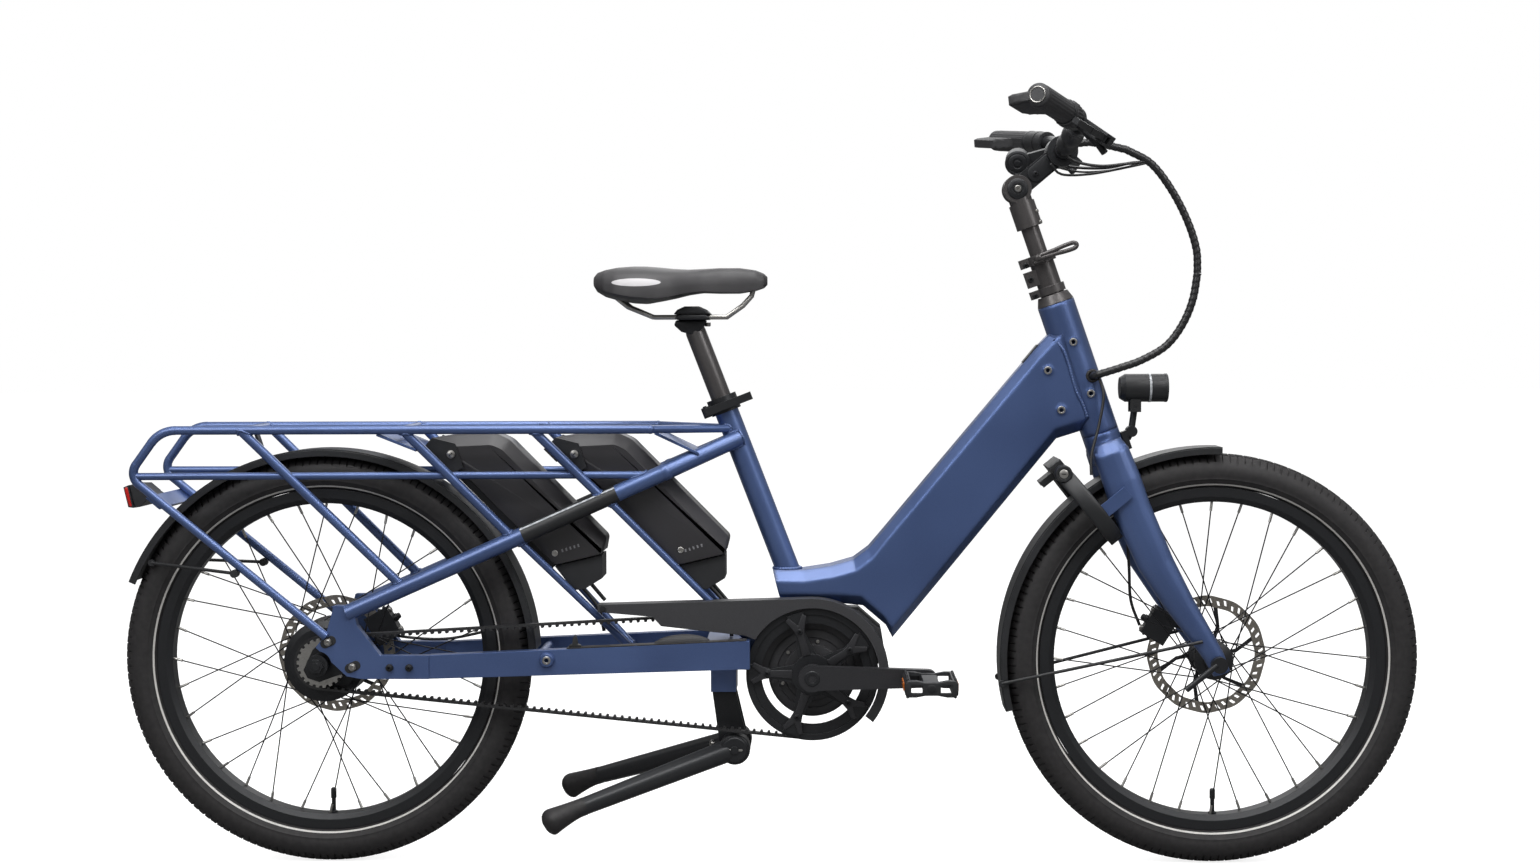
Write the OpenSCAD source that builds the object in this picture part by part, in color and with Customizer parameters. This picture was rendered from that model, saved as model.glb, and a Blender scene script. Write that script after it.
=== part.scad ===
// Longtail electric cargo bicycle, millimetres. +X is forward, +Z is up, -Y is the drive side.
// The origin is on the ground, half way between the two wheels.

/* [Wheels] */
// Distance between the wheel axles
wheelbase = 1332; // [1320:1:1345]
// Outer diameter of both tyres
tyre_d = 617; // [612:1:620]
// Width of both tyres
tyre_w = 55; // [50:1:58]
// Wall of the tyre
tyre_wall = 4; // [3:0.5:6]
// Outer diameter of the rims
rim_d = 516; // [512:1:518]
// Depth of the rims
rim_depth = 22; // [18:1:26]
// Width of the rims
rim_w = 34; // [30:1:36]
// Number of spokes in each wheel
spoke_count = 32; // [32:8:40]
// Diameter of a spoke
spoke_d = 2; // [1.8:0.1:2.2]
// Diameter of the brake discs
disc_d = 180; // [160:1:182]
// Thickness of the brake discs
disc_t = 2; // [1.6:0.2:2.4]

/* [Hubs] */
// Diameter of the front axle
front_axle_d = 15; // [12:0.5:16]
// Width of the front hub
front_hub_w = 100; // [96:1:100]
// Flange diameter of the front hub
front_flange_d = 58; // [50:1:64]
// Diameter of the rear axle
rear_axle_d = 12; // [10:0.5:14]
// Diameter of the rear hub's drum
rear_drum_d = 122; // [112:1:126]
// Diameter of the rear hub's two end bosses
rear_boss_d = 34; // [30:1:38]
// Radial clearance of everything that turns on a shaft
running_fit = 0.05; // [0.02:0.01:0.09]

/* [Frame] */
// Angle of the head tube from the ground
head_angle = 71; // [70:0.5:72]
// Offset of the front axle ahead of the steering axis
fork_rake = 47; // [42:1:52]
// Outer diameter of the head tube
head_d = 56; // [54:1:60]
// Length of the head tube
head_length = 204; // [196:1:210]
// Distance from the fork's foot point up to the head tube
head_start = 376; // [374:1:380]
// Angle of the seat tube from the ground
seat_angle = 69; // [68.5:0.5:69.5]
// Outer diameter of the seat tube
seat_tube_d = 36; // [35:0.5:38]
// Length of the seat tube
seat_tube_length = 306; // [300:1:312]
// Half width of the down tube
down_half = 41; // [39:1:43]
// Chamfer along the edges of the down tube
down_chamfer = 16; // [10:1:20]
// Outer diameter of the main stays
main_stay_d = 25; // [22:0.5:27]
// Thickness of each chainstay, sideways
chainstay_t = 18; // [14:1:19]
// Distance from the middle plane to a chainstay
chainstay_in = 64; // [62:1:66]

/* [Rack] */
// Height of the rack's top rails
rack_z = 658; // [650:1:664]
// Half distance between the rack's rails
rack_half = 85; // [80:1:90]
// Diameter of the rack's top rails
rail_d = 13; // [12:0.5:16]
// Diameter of the rack's lower rails
low_rail_d = 11; // [9:0.5:12]
// Diameter of the diagonal struts
strut_d = 14; // [12:0.5:16]
// Height of the rack's lower rails
low_rail_z = 590; // [580:1:600]
// Radius of the bend at the rack's tail
tail_bend = 45; // [40:1:48]

/* [Drive] */
// Position of the crank axle along the bicycle
crank_x = 67; // [65:1:69]
// Height of the crank axle
crank_z = 292; // [290:1:294]
// Length of each crank
crank_length = 170; // [165:1:175]
// Thickness of each crank arm
crank_t = 15; // [12:1:16]
// Distance from the middle plane to a crank arm
crank_in = 86; // [85:0.5:90]
// Diameter of the crank axle
crank_axle_d = 24; // [20:0.5:26]
// Pitch of the toothed belt
belt_pitch = 11; // [10.9:0.05:11.1]
// Teeth on the front pulley
front_teeth = 55; // [54:1:56]
// Teeth on the rear pulley
rear_teeth = 22; // [21:1:23]
// Width of the belt
belt_w = 12; // [10:0.5:13]
// Diameter of a pedal axle
pedal_axle_d = 10; // [8:0.5:12]
// Length of each pedal, sideways
pedal_w = 94; // [85:1:100]

/* [Cockpit] */
// Half width of the handlebar
bar_half = 340; // [330:1:345]
// Diameter of the handlebar
bar_d = 22.2; // [21.8:0.1:22.6]
// Diameter of the grips
grip_d = 33; // [30:1:36]
// Length of each grip
grip_length = 120; // [112:1:122]
// Diameter of the stem's sliding post
post_d = 27.2; // [26:0.1:27.6]
// Diameter of the stem's clamp tube
stem_d = 36; // [35:0.5:38]

/* [Seat] */
// Diameter of the seat post
seatpost_d = 30.9; // [30:0.1:31.6]
// Length of the seat post
seatpost_length = 290; // [270:1:300]
// Length of the saddle
saddle_length = 259; // [250:1:265]
// Width of the saddle
saddle_w = 180; // [150:1:190]

/* [Stand and guards] */
// Height of the stand's pivot
stand_z = 178; // [176:1:182]
// Diameter of the stand's legs
stand_leg_d = 28; // [24:1:30]
// Radius of the fenders' inner face
fender_r = 316; // [314:1:318]
// Width of the fenders
fender_w = 62; // [58:1:63]
// Thickness of the fenders
fender_t = 3; // [2:0.5:4]

/* [Batteries] */
// Width of each battery, sideways
battery_w = 86; // [80:1:88]
// Distance between the two batteries along the bicycle
battery_step = 184; // [182:1:188]

/* [Mounts] */
// Diameter of the threaded holes for a front carrier and a footrest
mount_hole_d = 6; // [5:0.5:6.5]
// Depth of those holes
mount_hole_depth = 12; // [10:1:14]
// Diameter of the bosses round those holes
mount_boss_d = 14; // [12:0.5:16]

/* [Hidden] */
$fn = 64;

blue = "#45568a";
black = "#1d1e20";
grey = "#3b3d40";
steel = "#b9bcc0";

axle_z = tyre_d / 2;
front_x = wheelbase / 2;
rear_x = -wheelbase / 2;
seat_gap = 0.2; // between solids of one body that only rest on each other

// Steering frame: its z axis runs up the steering axis and its x axis points forward.
steer_lean = 90 - head_angle;
steer_x = front_x - fork_rake * cos(steer_lean);
steer_z = axle_z - fork_rake * sin(steer_lean);
head_end = head_start + head_length;
steerer_d = 31.8;
bearing_d = 46;
bearing_h = 14;
steerer_top = head_end + 32;
pivot_s = 760;
arm_length = 86;
arm_rise = 21;
bar_x = arm_length * cos(arm_rise);
bar_s = pivot_s + arm_length * sin(arm_rise);

// Seat frame: its z axis runs up the seat tube from the lug.
seat_lean = 90 - seat_angle;
seat_x = 43;
seat_z = 410;
collar_h = 24;
post_top_s = 426;

chainstay_out = chainstay_in + chainstay_t;
rear_hub_half = 62;
carrier_t = 6;
carrier_in = rear_hub_half + 0.3;
carrier_out = carrier_in + carrier_t;
dropout_in = carrier_out;
dropout_out = chainstay_out + 2;

belt_y = -50;
front_pitch_r = belt_pitch * front_teeth / 360 / PI * 180;
rear_pitch_r = belt_pitch * rear_teeth / 360 / PI * 180;
belt_back = 2.2;
belt_floor = 1.2;
tooth_h = 3.4;
tooth_w = 4.8;
tooth_gap = 0.5;

stand_x = -49;
stand_foot = [-321, 135, 89];
stand_pin_d = 12;
stand_leg_y = 32;
foot_length = 30;
leg_top = [stand_x, stand_leg_y + 4, stand_z];

guard_y = -66;
guard_t = 3;
guard_r = 114;
guard_in_r = 99.5;
guard_lip_y = -38;

lock_angle = 129;
lock_centre = 300;
lock_r = 72;
lock_bar_d = 9;

function unit(v) = v / norm(v);

// A closed solid through rings of points that all have the same count.
module loft(rings) {
    n = len(rings[0]);
    m = len(rings);
    walls = [for (j = [0:m - 2], i = [0:n - 1])
        [j * n + i, j * n + (i + 1) % n, (j + 1) * n + (i + 1) % n, (j + 1) * n + i]];
    ends = [[for (i = [n - 1:-1:0]) i], [for (i = [0:n - 1]) (m - 1) * n + i]];
    polyhedron([for (r = rings) each r], concat(walls, ends), convexity = 6);
}

// A round wire, hose or bar along a list of points.
module pipe(path, d, sides = 12) {
    last = len(path) - 1;
    loft([for (k = [0:last])
        let (t = unit(path[min(k + 1, last)] - path[max(k - 1, 0)]),
             a = unit(cross(t, abs(t.y) > 0.9 ? [0, 0, 1] : [0, 1, 0])),
             b = cross(t, a))
        [for (i = [0:sides - 1])
            path[k] + d / 2 * (a * cos(i * 360 / sides) - b * sin(i * 360 / sides))]]);
}

// Puts the z axis on the line from p to q.
module along(p, q) {
    d = q - p;
    translate(p) rotate([0, acos(d.z / norm(d)), atan2(d.y, d.x)]) children();
}

module tube(p, q, d) {
    along(p, q) cylinder(d = d, h = norm(q - p));
}

module both_sides() {
    children();
    mirror([0, 1, 0]) children();
}

// A plate with an outline in X and Z, between two values of Y.
module side_plate(points, y0, y1) {
    translate([0, y1, 0]) rotate([90, 0, 0]) linear_extrude(y1 - y0) polygon(points);
}

// A cylinder along Y, between two values of Y.
module cross_pin(x, z, d, y0, y1) {
    translate([x, y0, z]) rotate([-90, 0, 0]) cylinder(d = d, h = y1 - y0);
}

// Puts the z axis on a Y line through x and z, for turned parts.
module about_y(x, z) {
    translate([x, 0, z]) rotate([-90, 0, 0]) children();
}

module at_steer() {
    translate([steer_x, 0, steer_z]) rotate([0, -steer_lean, 0]) children();
}

module at_seat() {
    translate([seat_x, 0, seat_z]) rotate([0, -seat_lean, 0]) children();
}

// Frame

// Places of the four carrier holes in the steering frame: x forward, z up the steering axis.
head_holes = [[3, 518], [3, 437]];
down_holes = [[front_x - 248, 742], [front_x - 228, 683]];
port_place = [14, 461];
port_d = 14;

module head_tube() color(blue) at_steer() difference() {
    union() {
        translate([0, 0, head_start]) cylinder(d = head_d, h = head_length);
        for (p = head_holes) translate([p.x, -head_d / 2 - 1, p.y]) rotate([-90, 0, 0])
            cylinder(d = mount_boss_d, h = head_d / 4);
    }
    translate([0, 0, head_start - 1]) cylinder(d = bearing_d, h = head_length + 2);
    for (p = head_holes) translate([p.x, -head_d / 2 - 2, p.y]) rotate([-90, 0, 0])
        cylinder(d = mount_hole_d, h = mount_hole_depth);
    translate([port_place.x, -head_d / 2 - 2, port_place.y]) rotate([-90, 0, 0])
        cylinder(d = port_d, h = head_d / 2);
}

// Sections of the down tube: upper edge, lower edge, share of the half width.
down_base = 394;
down_sections = [
    [[8, 444], [21, down_base], 0.86],
    [[53, 444], [60, down_base], 0.93],
    [[94, 450], [114, down_base], 1],
    [[129, 460], [143, 391], 1],
    [[152, 477], [177, 362], 1],
    [[175, 504], [187, 343], 1],
    [[240, 582], [262, 434], 0.96],
    [[front_x - 266, 773], [front_x - 234, 640], 0.76],
    [[front_x - 230, 812], [front_x - 182, 656], 0.66]
];

down_boss_y = down_half * 0.76 + 1;

// Mode button, in a pocket on the upper edge of the down tube. Local z points out of the tube.
button_size = [34, 24, 5];
button_gap = 0.3;
button_travel = 1.2;
button_depth = button_size.z + button_travel + 0.3;
button_out = 1.5;
button_edge = [down_sections[6][0], down_sections[7][0]];
button_share = 0.965;
button_place = button_edge[0] + button_share * (button_edge[1] - button_edge[0]);
button_slope = atan2(button_edge[1].y - button_edge[0].y, button_edge[1].x - button_edge[0].x);

module at_button() translate([button_place.x, 0, button_place.y]) rotate([0, -button_slope, 0]) children();

module control_button() color(black) at_button()
    translate([-button_size.x / 2, -button_size.y / 2, button_out - button_size.z]) cube(button_size);

function down_ring(s) =
    let (u = [s[0].x, 0, s[0].y], l = [s[1].x, 0, s[1].y], e = unit(l - u) * down_chamfer,
         w = [0, down_half * s[2], 0], n = [0, down_half * s[2] - down_chamfer, 0])
    [u - n, u + n, u + e + w, l - e + w, l + n, l - n, l - e - w, u + e - w];

module down_tube() color(blue) difference() {
    union() {
        loft([for (s = down_sections) down_ring(s)]);
        for (p = down_holes) cross_pin(p.x, p.y, mount_boss_d, -down_boss_y, 0);
    }
    at_steer() translate([0, 0, head_start - 20]) cylinder(d = head_d, h = head_length + 40);
    at_seat() cylinder(d = seat_tube_d, h = seat_tube_length);
    for (p = down_holes) cross_pin(p.x, p.y, mount_hole_d, -down_boss_y - 1, mount_hole_depth - down_boss_y);
    at_button() translate([-button_size.x / 2 - button_gap, -button_size.y / 2 - button_gap, -button_depth])
        cube([button_size.x + 2 * button_gap, button_size.y + 2 * button_gap, 2 * button_depth]);
}

module seat_tube() color(blue) at_seat() difference() {
    cylinder(d = seat_tube_d, h = seat_tube_length);
    translate([0, 0, 4]) cylinder(d = seatpost_d + 2 * running_fit, h = seat_tube_length);
}

// Each main stay runs beside the batteries and then bends in to the seat tube.
main_rear = [rear_x + 44, 77, 386];
main_bend = [-150, 64, 594];
main_front = [-42, 12, 641.6];
yoke_x = [-90, -33];
yoke_z = [303, 343];
bracket_front = -16;
bracket_base = 385;
chainstay_rear = rear_x + 166;
boss_place = [-325, 317];
boss_face = chainstay_out + 6;
bridge_d = 16;
axle_slot_d = 44;
bridge_x = rear_x + fender_r + fender_t + seat_gap + bridge_d / 2;
bridges = [[bridge_x, 318], [-212, 322]];

// Places given from the rear axle.
function from_rear(points) = [for (p = points) [rear_x + p.x, p.y]];

module main_stay_solid() {
    tube(main_rear, main_bend, main_stay_d);
    translate(main_bend) sphere(d = main_stay_d + 1.6);
    tube(main_bend, main_front, main_stay_d);
}

module dropout_plate() difference() {
    side_plate(from_rear([[-2, 336], [14, 356], [26, 398], [54, 398], [60, 368], [94, 324],
        [166, 324], [166, 289], [66, 289], [44, 293]]), dropout_in, dropout_out);
    cross_pin(rear_x, axle_z, axle_slot_d, 0, 100);
    tube(main_rear, main_bend, main_stay_d);
}

module chainstay() side_plate([[chainstay_rear, 289], [-25, 303], [-25, 345], [chainstay_rear, 324]],
    chainstay_in, chainstay_out);

module yoke() {
    translate([yoke_x[0], -chainstay_in, yoke_z[0]])
        cube([yoke_x[1] - yoke_x[0], 2 * chainstay_in, yoke_z[1] - yoke_z[0]]);
    side_plate([[yoke_x[1] - 1, yoke_z[0]], [bracket_front, yoke_z[0]], [bracket_front, bracket_base],
        [108, bracket_base], [108, down_base], [bracket_front + 2, down_base],
        [yoke_x[1] - 1, 376]], -36, 36);
}

module rear_stays() color(blue) {
    difference() {
        both_sides() main_stay_solid();
        at_seat() cylinder(d = seat_tube_d, h = seat_tube_length);
    }
    both_sides() dropout_plate();
    difference() {
        union() {
            both_sides() chainstay();
            yoke();
            for (p = bridges) cross_pin(p.x, p.y, bridge_d, -chainstay_in, chainstay_in);
            cross_pin(boss_place.x, boss_place.y, mount_boss_d + 4, -boss_face, -chainstay_out + 1);
        }
        cross_pin(boss_place.x, boss_place.y, mount_hole_d, -boss_face - 1, mount_hole_depth - boss_face);
    }
}

// The tail loop: top rail, bend, and a leg down to the dropout.
tail_x = rear_x - 205;
tail_turn = 54;
tail_drop = 39;
tail_tip_bend = 22;
leg_angle = -39.4;
leg_length = 356;
rail_bend_x = -170;
rail_front = [-52, 10, 656];
strut_tops = [rear_x - 109, -536, -344];
cross_tops = [rear_x - 109, -540];
tail_plate_s = 20;
rail_tip_d = rail_d - 1;
bend_d = rail_d + 0.4;
low_strut_d = strut_d - 3;
strut_feet = [[-207, 18, 327], [-28, 30, 340]];
// Seen from the side, each strut and its foot make one straight line.
strut_fall = 1.006;
main_rise = (main_bend.z - main_rear.z) / (main_bend.x - main_rear.x);
cross_tube_d = rail_d - 2;

tail_mid = [tail_x - tail_bend * sin(tail_turn), rack_half, rack_z - tail_bend * (1 - cos(tail_turn))];
tail_low = tail_mid - tail_drop * [cos(tail_turn), 0, sin(tail_turn)];
tail_tip = tail_low + tail_tip_bend * [sin(tail_turn), 0, -cos(tail_turn)];

function leg_start() = tail_tip + tail_tip_bend * [sin(leg_angle), 0, -cos(leg_angle)];

// Each tube is mitred to the next, with a root gap that its weld fills.
weld_gap = 0.1;
leg_dir = [cos(leg_angle), 0, sin(leg_angle)];

module rail(grow = 0) {
    tube([tail_x, rack_half, rack_z], [rail_bend_x, rack_half, rack_z], rail_d + grow);
    translate([rail_bend_x, rack_half, rack_z]) rotate([0, 90, 0]) sphere(d = rail_d + 0.8 + grow);
    tube([rail_bend_x, rack_half, rack_z], rail_front, rail_tip_d + grow);
}

module tail_bend_tube(centre, radius, start, turn, grow) translate(centre) rotate([90, 0, 0])
    rotate_extrude(angle = turn, start = start) translate([radius, 0]) circle(d = bend_d + grow);

// Two bends with a short straight run between them, which reaches a little into both.
module tail_bow(grow = 0) translate([-weld_gap, 0, 0]) {
    run = unit(tail_low - tail_mid);
    tail_bend_tube([tail_x, rack_half, rack_z - tail_bend], tail_bend, 90, tail_turn, grow);
    tube(tail_mid - run, tail_low + run, rail_d + grow);
    tail_bend_tube(tail_tip, tail_tip_bend, 90 + tail_turn, 180 - tail_turn + leg_angle, grow);
}

module tail_leg(grow = 0) tube(leg_start(), leg_start() + leg_length * leg_dir, rail_d + grow);

// A tube that grows at its ends as well as round its wall.
module grown_tube(p, q, d, grow) tube(p - unit(q - p) * grow, q + unit(q - p) * grow, d + grow);

module struts(grow = 0) {
    grown_tube([strut_tops[0], rack_half, rack_z], [rear_x + 128, 74, 424], strut_d, grow);
    for (x = [strut_tops[1], strut_tops[2]]) {
        meet_x = (rack_z + strut_fall * x - main_rear.z + main_rise * main_rear.x) / (strut_fall + main_rise);
        meet = main_rear + (main_bend - main_rear) * (meet_x - main_rear.x) / (main_bend.x - main_rear.x);
        foot = x == strut_tops[1] ? strut_feet[0] : strut_feet[1];
        grown_tube([x, rack_half - 4, rack_z], meet, strut_d, grow);
        grown_tube(meet + 4 * unit(main_bend - main_rear), foot, low_strut_d, grow);
    }
}

module rack_plates() {
    side_plate([[-574, rack_z - 4], [-516, 630], [-516, 626], [-574, rack_z - 9]], -rack_half, rack_half);
    side_plate([[-166, rack_z - 4], [-100, 622], [-100, 618], [-166, rack_z - 9]], -56, 56);
    translate(leg_start()) rotate([0, -leg_angle, 0])
        translate([tail_plate_s, -2 * rack_half + 1, -10]) cube([26, 2 * rack_half - 2, 4]);
}

module rack() color(blue) difference() {
    union() {
        both_sides() {
            rail();
            tail_bow();
            tail_leg();
        }
        difference() {
            both_sides() struts();
            both_sides() rail(2 * weld_gap);
        }
        difference() {
            both_sides() tube([tail_x - 63, rack_half, low_rail_z], [-162, 65, low_rail_z], low_rail_d);
            both_sides() {
                tail_bow(2 * weld_gap);
                tail_leg(2 * weld_gap);
                struts(2 * weld_gap);
            }
        }
        difference() {
            union() {
                for (x = cross_tops) cross_pin(x, rack_z, cross_tube_d, -rack_half, rack_half);
                rack_plates();
            }
            both_sides() {
                rail(2 * weld_gap);
                tail_leg(2 * weld_gap);
                struts(2 * weld_gap);
            }
        }
    }
    both_sides() main_stay_solid();
    both_sides() chainstay();
    both_sides() dropout_plate();
    yoke();
    cross_pin(bridges[1].x, bridges[1].y, bridge_d, -chainstay_in, chainstay_in);
    at_seat() cylinder(d = seat_tube_d, h = seat_tube_length);
}

motor_half = 36;
motor_r = 66;
motor_boss_d = 52;
motor_gap = 0.4;
motor_left = bracket_front + motor_gap;
motor_top = bracket_base - motor_gap;
motor_outline = [[motor_left, 306], [motor_left, motor_top], [136, motor_top], [170, 355], [174, 330],
    [160, 290], [110, 256], [70, 240]];

module drive_unit() color(grey) difference() {
    union() {
        cross_pin(crank_x, crank_z, 2 * motor_r, -motor_half, motor_half);
        side_plate(motor_outline, -motor_half, motor_half);
        cross_pin(crank_x, crank_z, motor_boss_d, -motor_half - 5, motor_half + 10);
    }
    cross_pin(crank_x, crank_z, crank_axle_d + 2 * running_fit, -60, 60);
}

function arc(c, r, from, to, n) = [for (i = [0:n]) let (a = from + (to - from) * i / n)
    [c.x + r * cos(a), c.y + r * sin(a)]];

crank_c = [crank_x, crank_z];
guard_stop = -38;
guard_back = 148;

module belt_guard() color(grey) {
    outer = arc(crank_c, guard_r, guard_stop, 90, 24);
    inner = arc(crank_c, guard_in_r, guard_back, guard_stop, 32);
    lip = arc(crank_c, guard_r - guard_t, 90, guard_stop, 24);
    top_left = [-251, 397];
    side_plate(concat([top_left], turned(outer), turned(inner),
        [[-33, 351], [-157, 365], [-170, 379], [-251, 386]]), guard_y, guard_y + guard_t);
    difference() {
        side_plate(concat(outer, [top_left, top_left - [0, guard_t]], lip), guard_y + guard_t, guard_lip_y);
        mirror([0, 1, 0]) struts(2);
    }
    side_plate([[20, 387], [60, 387], [60, 404], [20, 404]], guard_lip_y - 3, -motor_half - seat_gap);
}

function turned(list) = [for (i = [len(list) - 1:-1:0]) list[i]];

// Belt loop. Angles are seen from the drive side, and the run leaves each pulley as a tangent.
rear_c = [rear_x, axle_z];
centre_line = crank_c - rear_c;
centre_dist = norm(centre_line);
tilt = atan2(centre_line.y, centre_line.x);
wrap = asin((front_pitch_r - rear_pitch_r) / centre_dist);
run_length = centre_dist * cos(wrap);
front_arc = (180 + 2 * wrap) * front_pitch_r * PI / 180;
rear_arc = (180 - 2 * wrap) * rear_pitch_r * PI / 180;

// Point and outward direction at a distance along the pitch line, starting at the top of the front arc.
function loop_at(s) =
    s < front_arc ? let (a = tilt + 90 + wrap - s / front_pitch_r * 180 / PI)
        [crank_c + front_pitch_r * [cos(a), sin(a)], [cos(a), sin(a)]] :
    s < front_arc + run_length ? let (a = tilt - 90 - wrap, o = [cos(a), sin(a)], k = s - front_arc)
        [crank_c + front_pitch_r * o + k * [o.y, -o.x], o] :
    s < front_arc + run_length + rear_arc ?
        let (a = tilt - 90 - wrap - (s - front_arc - run_length) / rear_pitch_r * 180 / PI)
        [rear_c + rear_pitch_r * [cos(a), sin(a)], [cos(a), sin(a)]] :
        let (a = tilt + 90 + wrap, o = [cos(a), sin(a)], k = s - front_arc - run_length - rear_arc)
        [rear_c + rear_pitch_r * o + k * [o.y, -o.x], o];

loop_length = front_arc + rear_arc + 2 * run_length;

// Whole pitches fit on each arc, and the free runs share out what is left.
function middle_teeth(start, length) = let (n = floor(length / belt_pitch) - 1)
    [for (i = [0:n]) start + length / 2 + (i - n / 2) * belt_pitch];
front_tooth_s = middle_teeth(0, front_arc);
rear_tooth_s = middle_teeth(front_arc + run_length, rear_arc);
function between(a, b) = let (n = round((b - a) / belt_pitch)) [for (i = [1:n - 1]) a + (b - a) * i / n];
tooth_s = concat(front_tooth_s,
    between(front_tooth_s[len(front_tooth_s) - 1], rear_tooth_s[0]),
    rear_tooth_s,
    between(rear_tooth_s[len(rear_tooth_s) - 1], front_tooth_s[0] + loop_length));

function loop_wrap(s) = s >= loop_length ? s - loop_length : s < 0 ? s + loop_length : s;
function loop_point(s, out) = let (p = loop_at(loop_wrap(s))) p[0] + out * p[1];

module belt() color(black) translate([0, belt_y + belt_w / 2, 0]) rotate([90, 0, 0]) linear_extrude(belt_w) {
    outside = [for (s = [0:6:loop_length - 3]) loop_point(s, belt_back)];
    inside = [for (s = tooth_s) each [
        loop_point(s - tooth_w / 2, -belt_floor), loop_point(s - tooth_w / 3, -belt_floor - tooth_h),
        loop_point(s + tooth_w / 3, -belt_floor - tooth_h), loop_point(s + tooth_w / 2, -belt_floor)]];
    difference() {
        polygon(outside);
        polygon(inside);
    }
}

// A toothed pulley rim whose first gap faces the given angle.
module pulley_rim(r, teeth, first, bore_d, w) {
    top = r - belt_floor - tooth_gap;
    root = top - tooth_h;
    half = (tooth_w / 2 + tooth_gap) / r * 180 / PI;
    outline = [for (i = [0:teeth - 1]) let (a = first + i * 360 / teeth) each [
        root * [cos(a - half * 0.7), sin(a - half * 0.7)], root * [cos(a + half * 0.7), sin(a + half * 0.7)],
        top * [cos(a + half), sin(a + half)],
        top * [cos(a + 360 / teeth - half), sin(a + 360 / teeth - half)]]];
    rotate([90, 0, 0]) translate([0, 0, -w / 2]) linear_extrude(w) difference() {
        polygon(outline);
        circle(d = bore_d);
    }
}

function tooth_angle(s, c) = let (p = loop_at(s)[0] - c) atan2(p.y, p.x);

// Rear end of the frame

fender_rear = [3, 158];
fender_front = [88, 194];

// A fender shell round an axle, between two angles from forward over the top.
module fender(x, from, to) about_y(x, axle_z) rotate_extrude(angle = to - from, start = -to) {
    translate([fender_r, -fender_w / 2]) square([fender_t, fender_w]);
    for (side = [-1, 1]) translate([fender_r - 8, side * fender_w / 2 - fender_t / 2]) square([9, fender_t]);
}

stay_wire_d = 5;
stay_eye_d = 12;
stay_foot = [rear_x - 259, 457];
stay_eye_x = rear_x - 120;
stay_eye_z = leg_start().z + (stay_eye_x - leg_start().x) * tan(leg_angle)
    - (rail_d / 2 + stay_eye_d / 2 + seat_gap) / cos(leg_angle);

module rear_fender() color(black) {
    fender(rear_x, fender_rear[0], fender_rear[1]);
    both_sides() {
        tube([stay_foot.x, fender_w / 2 + 4, stay_foot.y], [stay_eye_x, rack_half, stay_eye_z], stay_wire_d);
        cross_pin(stay_eye_x, stay_eye_z, stay_eye_d, rack_half - rail_d / 2, rack_half + rail_d / 2);
        cross_pin(stay_foot.x, stay_foot.y, stay_eye_d - 2, fender_w / 2 - 1, fender_w / 2 + 6);
    }
    bracket_from = fender_r + fender_t - 1;
    bracket_angle = atan2(rack_z - axle_z, cross_tops[0] - rear_x);
    bracket_to = norm([cross_tops[0] - rear_x, rack_z - axle_z]) - cross_tube_d / 2 - seat_gap;
    translate([rear_x, 0, axle_z]) rotate([0, -bracket_angle, 0]) translate([bracket_from, -9, -2])
        cube([bracket_to - bracket_from, 18, 4]);
}

stand_plate_t = 8;
stand_plate_in = 12;

module stand_tower() color(black) difference() {
    union() {
        translate([-85, -34, 262]) cube([38, 68, 40.8]);
        both_sides() side_plate([[-84, 264], [-49, 264], [-30, 182], [-36, 162], [-58, 160], [-72, 176]],
            stand_plate_in, stand_plate_in + stand_plate_t);
        cross_pin(stand_x, stand_z, stand_pin_d, -stand_leg_y - 26, stand_leg_y + 26);
    }
}

// Batteries: outline of the rear one, and its dock along the lower side.
battery_outline = [[-504, 643], [-470, 648], [-407, 651], [-385, 641], [-240, 494], [-246, 470], [-317, 453]];
battery_hinge = [-246, 470];
dock_clear = 1.2;
dock_plate_in = battery_w / 2 + dock_clear;
dock_plate_out = dock_plate_in + 4;
dock_ear_x = [-364, -236];

module battery_at(i) translate([i * battery_step, 0, 0]) children();

module battery_solid() side_plate(battery_outline, -battery_w / 2, battery_w / 2);

module battery_dock() {
    d = dock_clear / sqrt(2);
    side_plate([[-317 - d, 453 - d], [-500 - d, 636 - d], [-507 - d, 629 - d], [-324 - d, 446 - d]], -24, 24);
    side_plate([[-318, 453 - 2], [-247, 470 - 2], [-247, 433], [-273, 417], [-290, 415]], -34, 34);
    both_sides() side_plate([[-514, 627], [-498, 645], [-464, 636], [-452, 600], [-474, 588]],
        dock_plate_in, dock_plate_out);
    side_plate([[-509 - d, 634 - d], [-490 - d, 615 - d], [-496 - d, 609 - d], [-515 - d, 628 - d]],
        -dock_plate_out, dock_plate_out);
}

// Ears that hold a dock between the two main stays, where the dock's line crosses theirs.
function stay_at(x) = main_rear + (main_bend - main_rear) * (x - main_rear.x) / (main_bend.x - main_rear.x);
dock_ear = [30, 9];

module dock_ears(x) {
    stay = stay_at(x);
    reach = stay.y - main_stay_d / 2 - seat_gap;
    translate([stay.x, 0, stay.z]) rotate([0, 45, 0])
        translate([-dock_ear.x / 2, -reach, -dock_ear.y]) cube([dock_ear.x, 2 * reach, dock_ear.y]);
}

module battery_docks() color(black) for (i = [0, 1]) {
    battery_at(i) battery_dock();
    battery_at(i) tube([-268, 0, 422], [-246, 0, 396], 6);
    dock_ears(dock_ear_x[i]);
}

module headset_bearings() color(steel) at_steer() {
    for (s = [head_start + 0.5, head_end - bearing_h - 0.5]) translate([0, 0, s]) difference() {
        cylinder(d = bearing_d, h = bearing_h);
        translate([0, 0, -1]) cylinder(d = steerer_d + 2 * running_fit, h = bearing_h + 2);
    }
}

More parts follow.
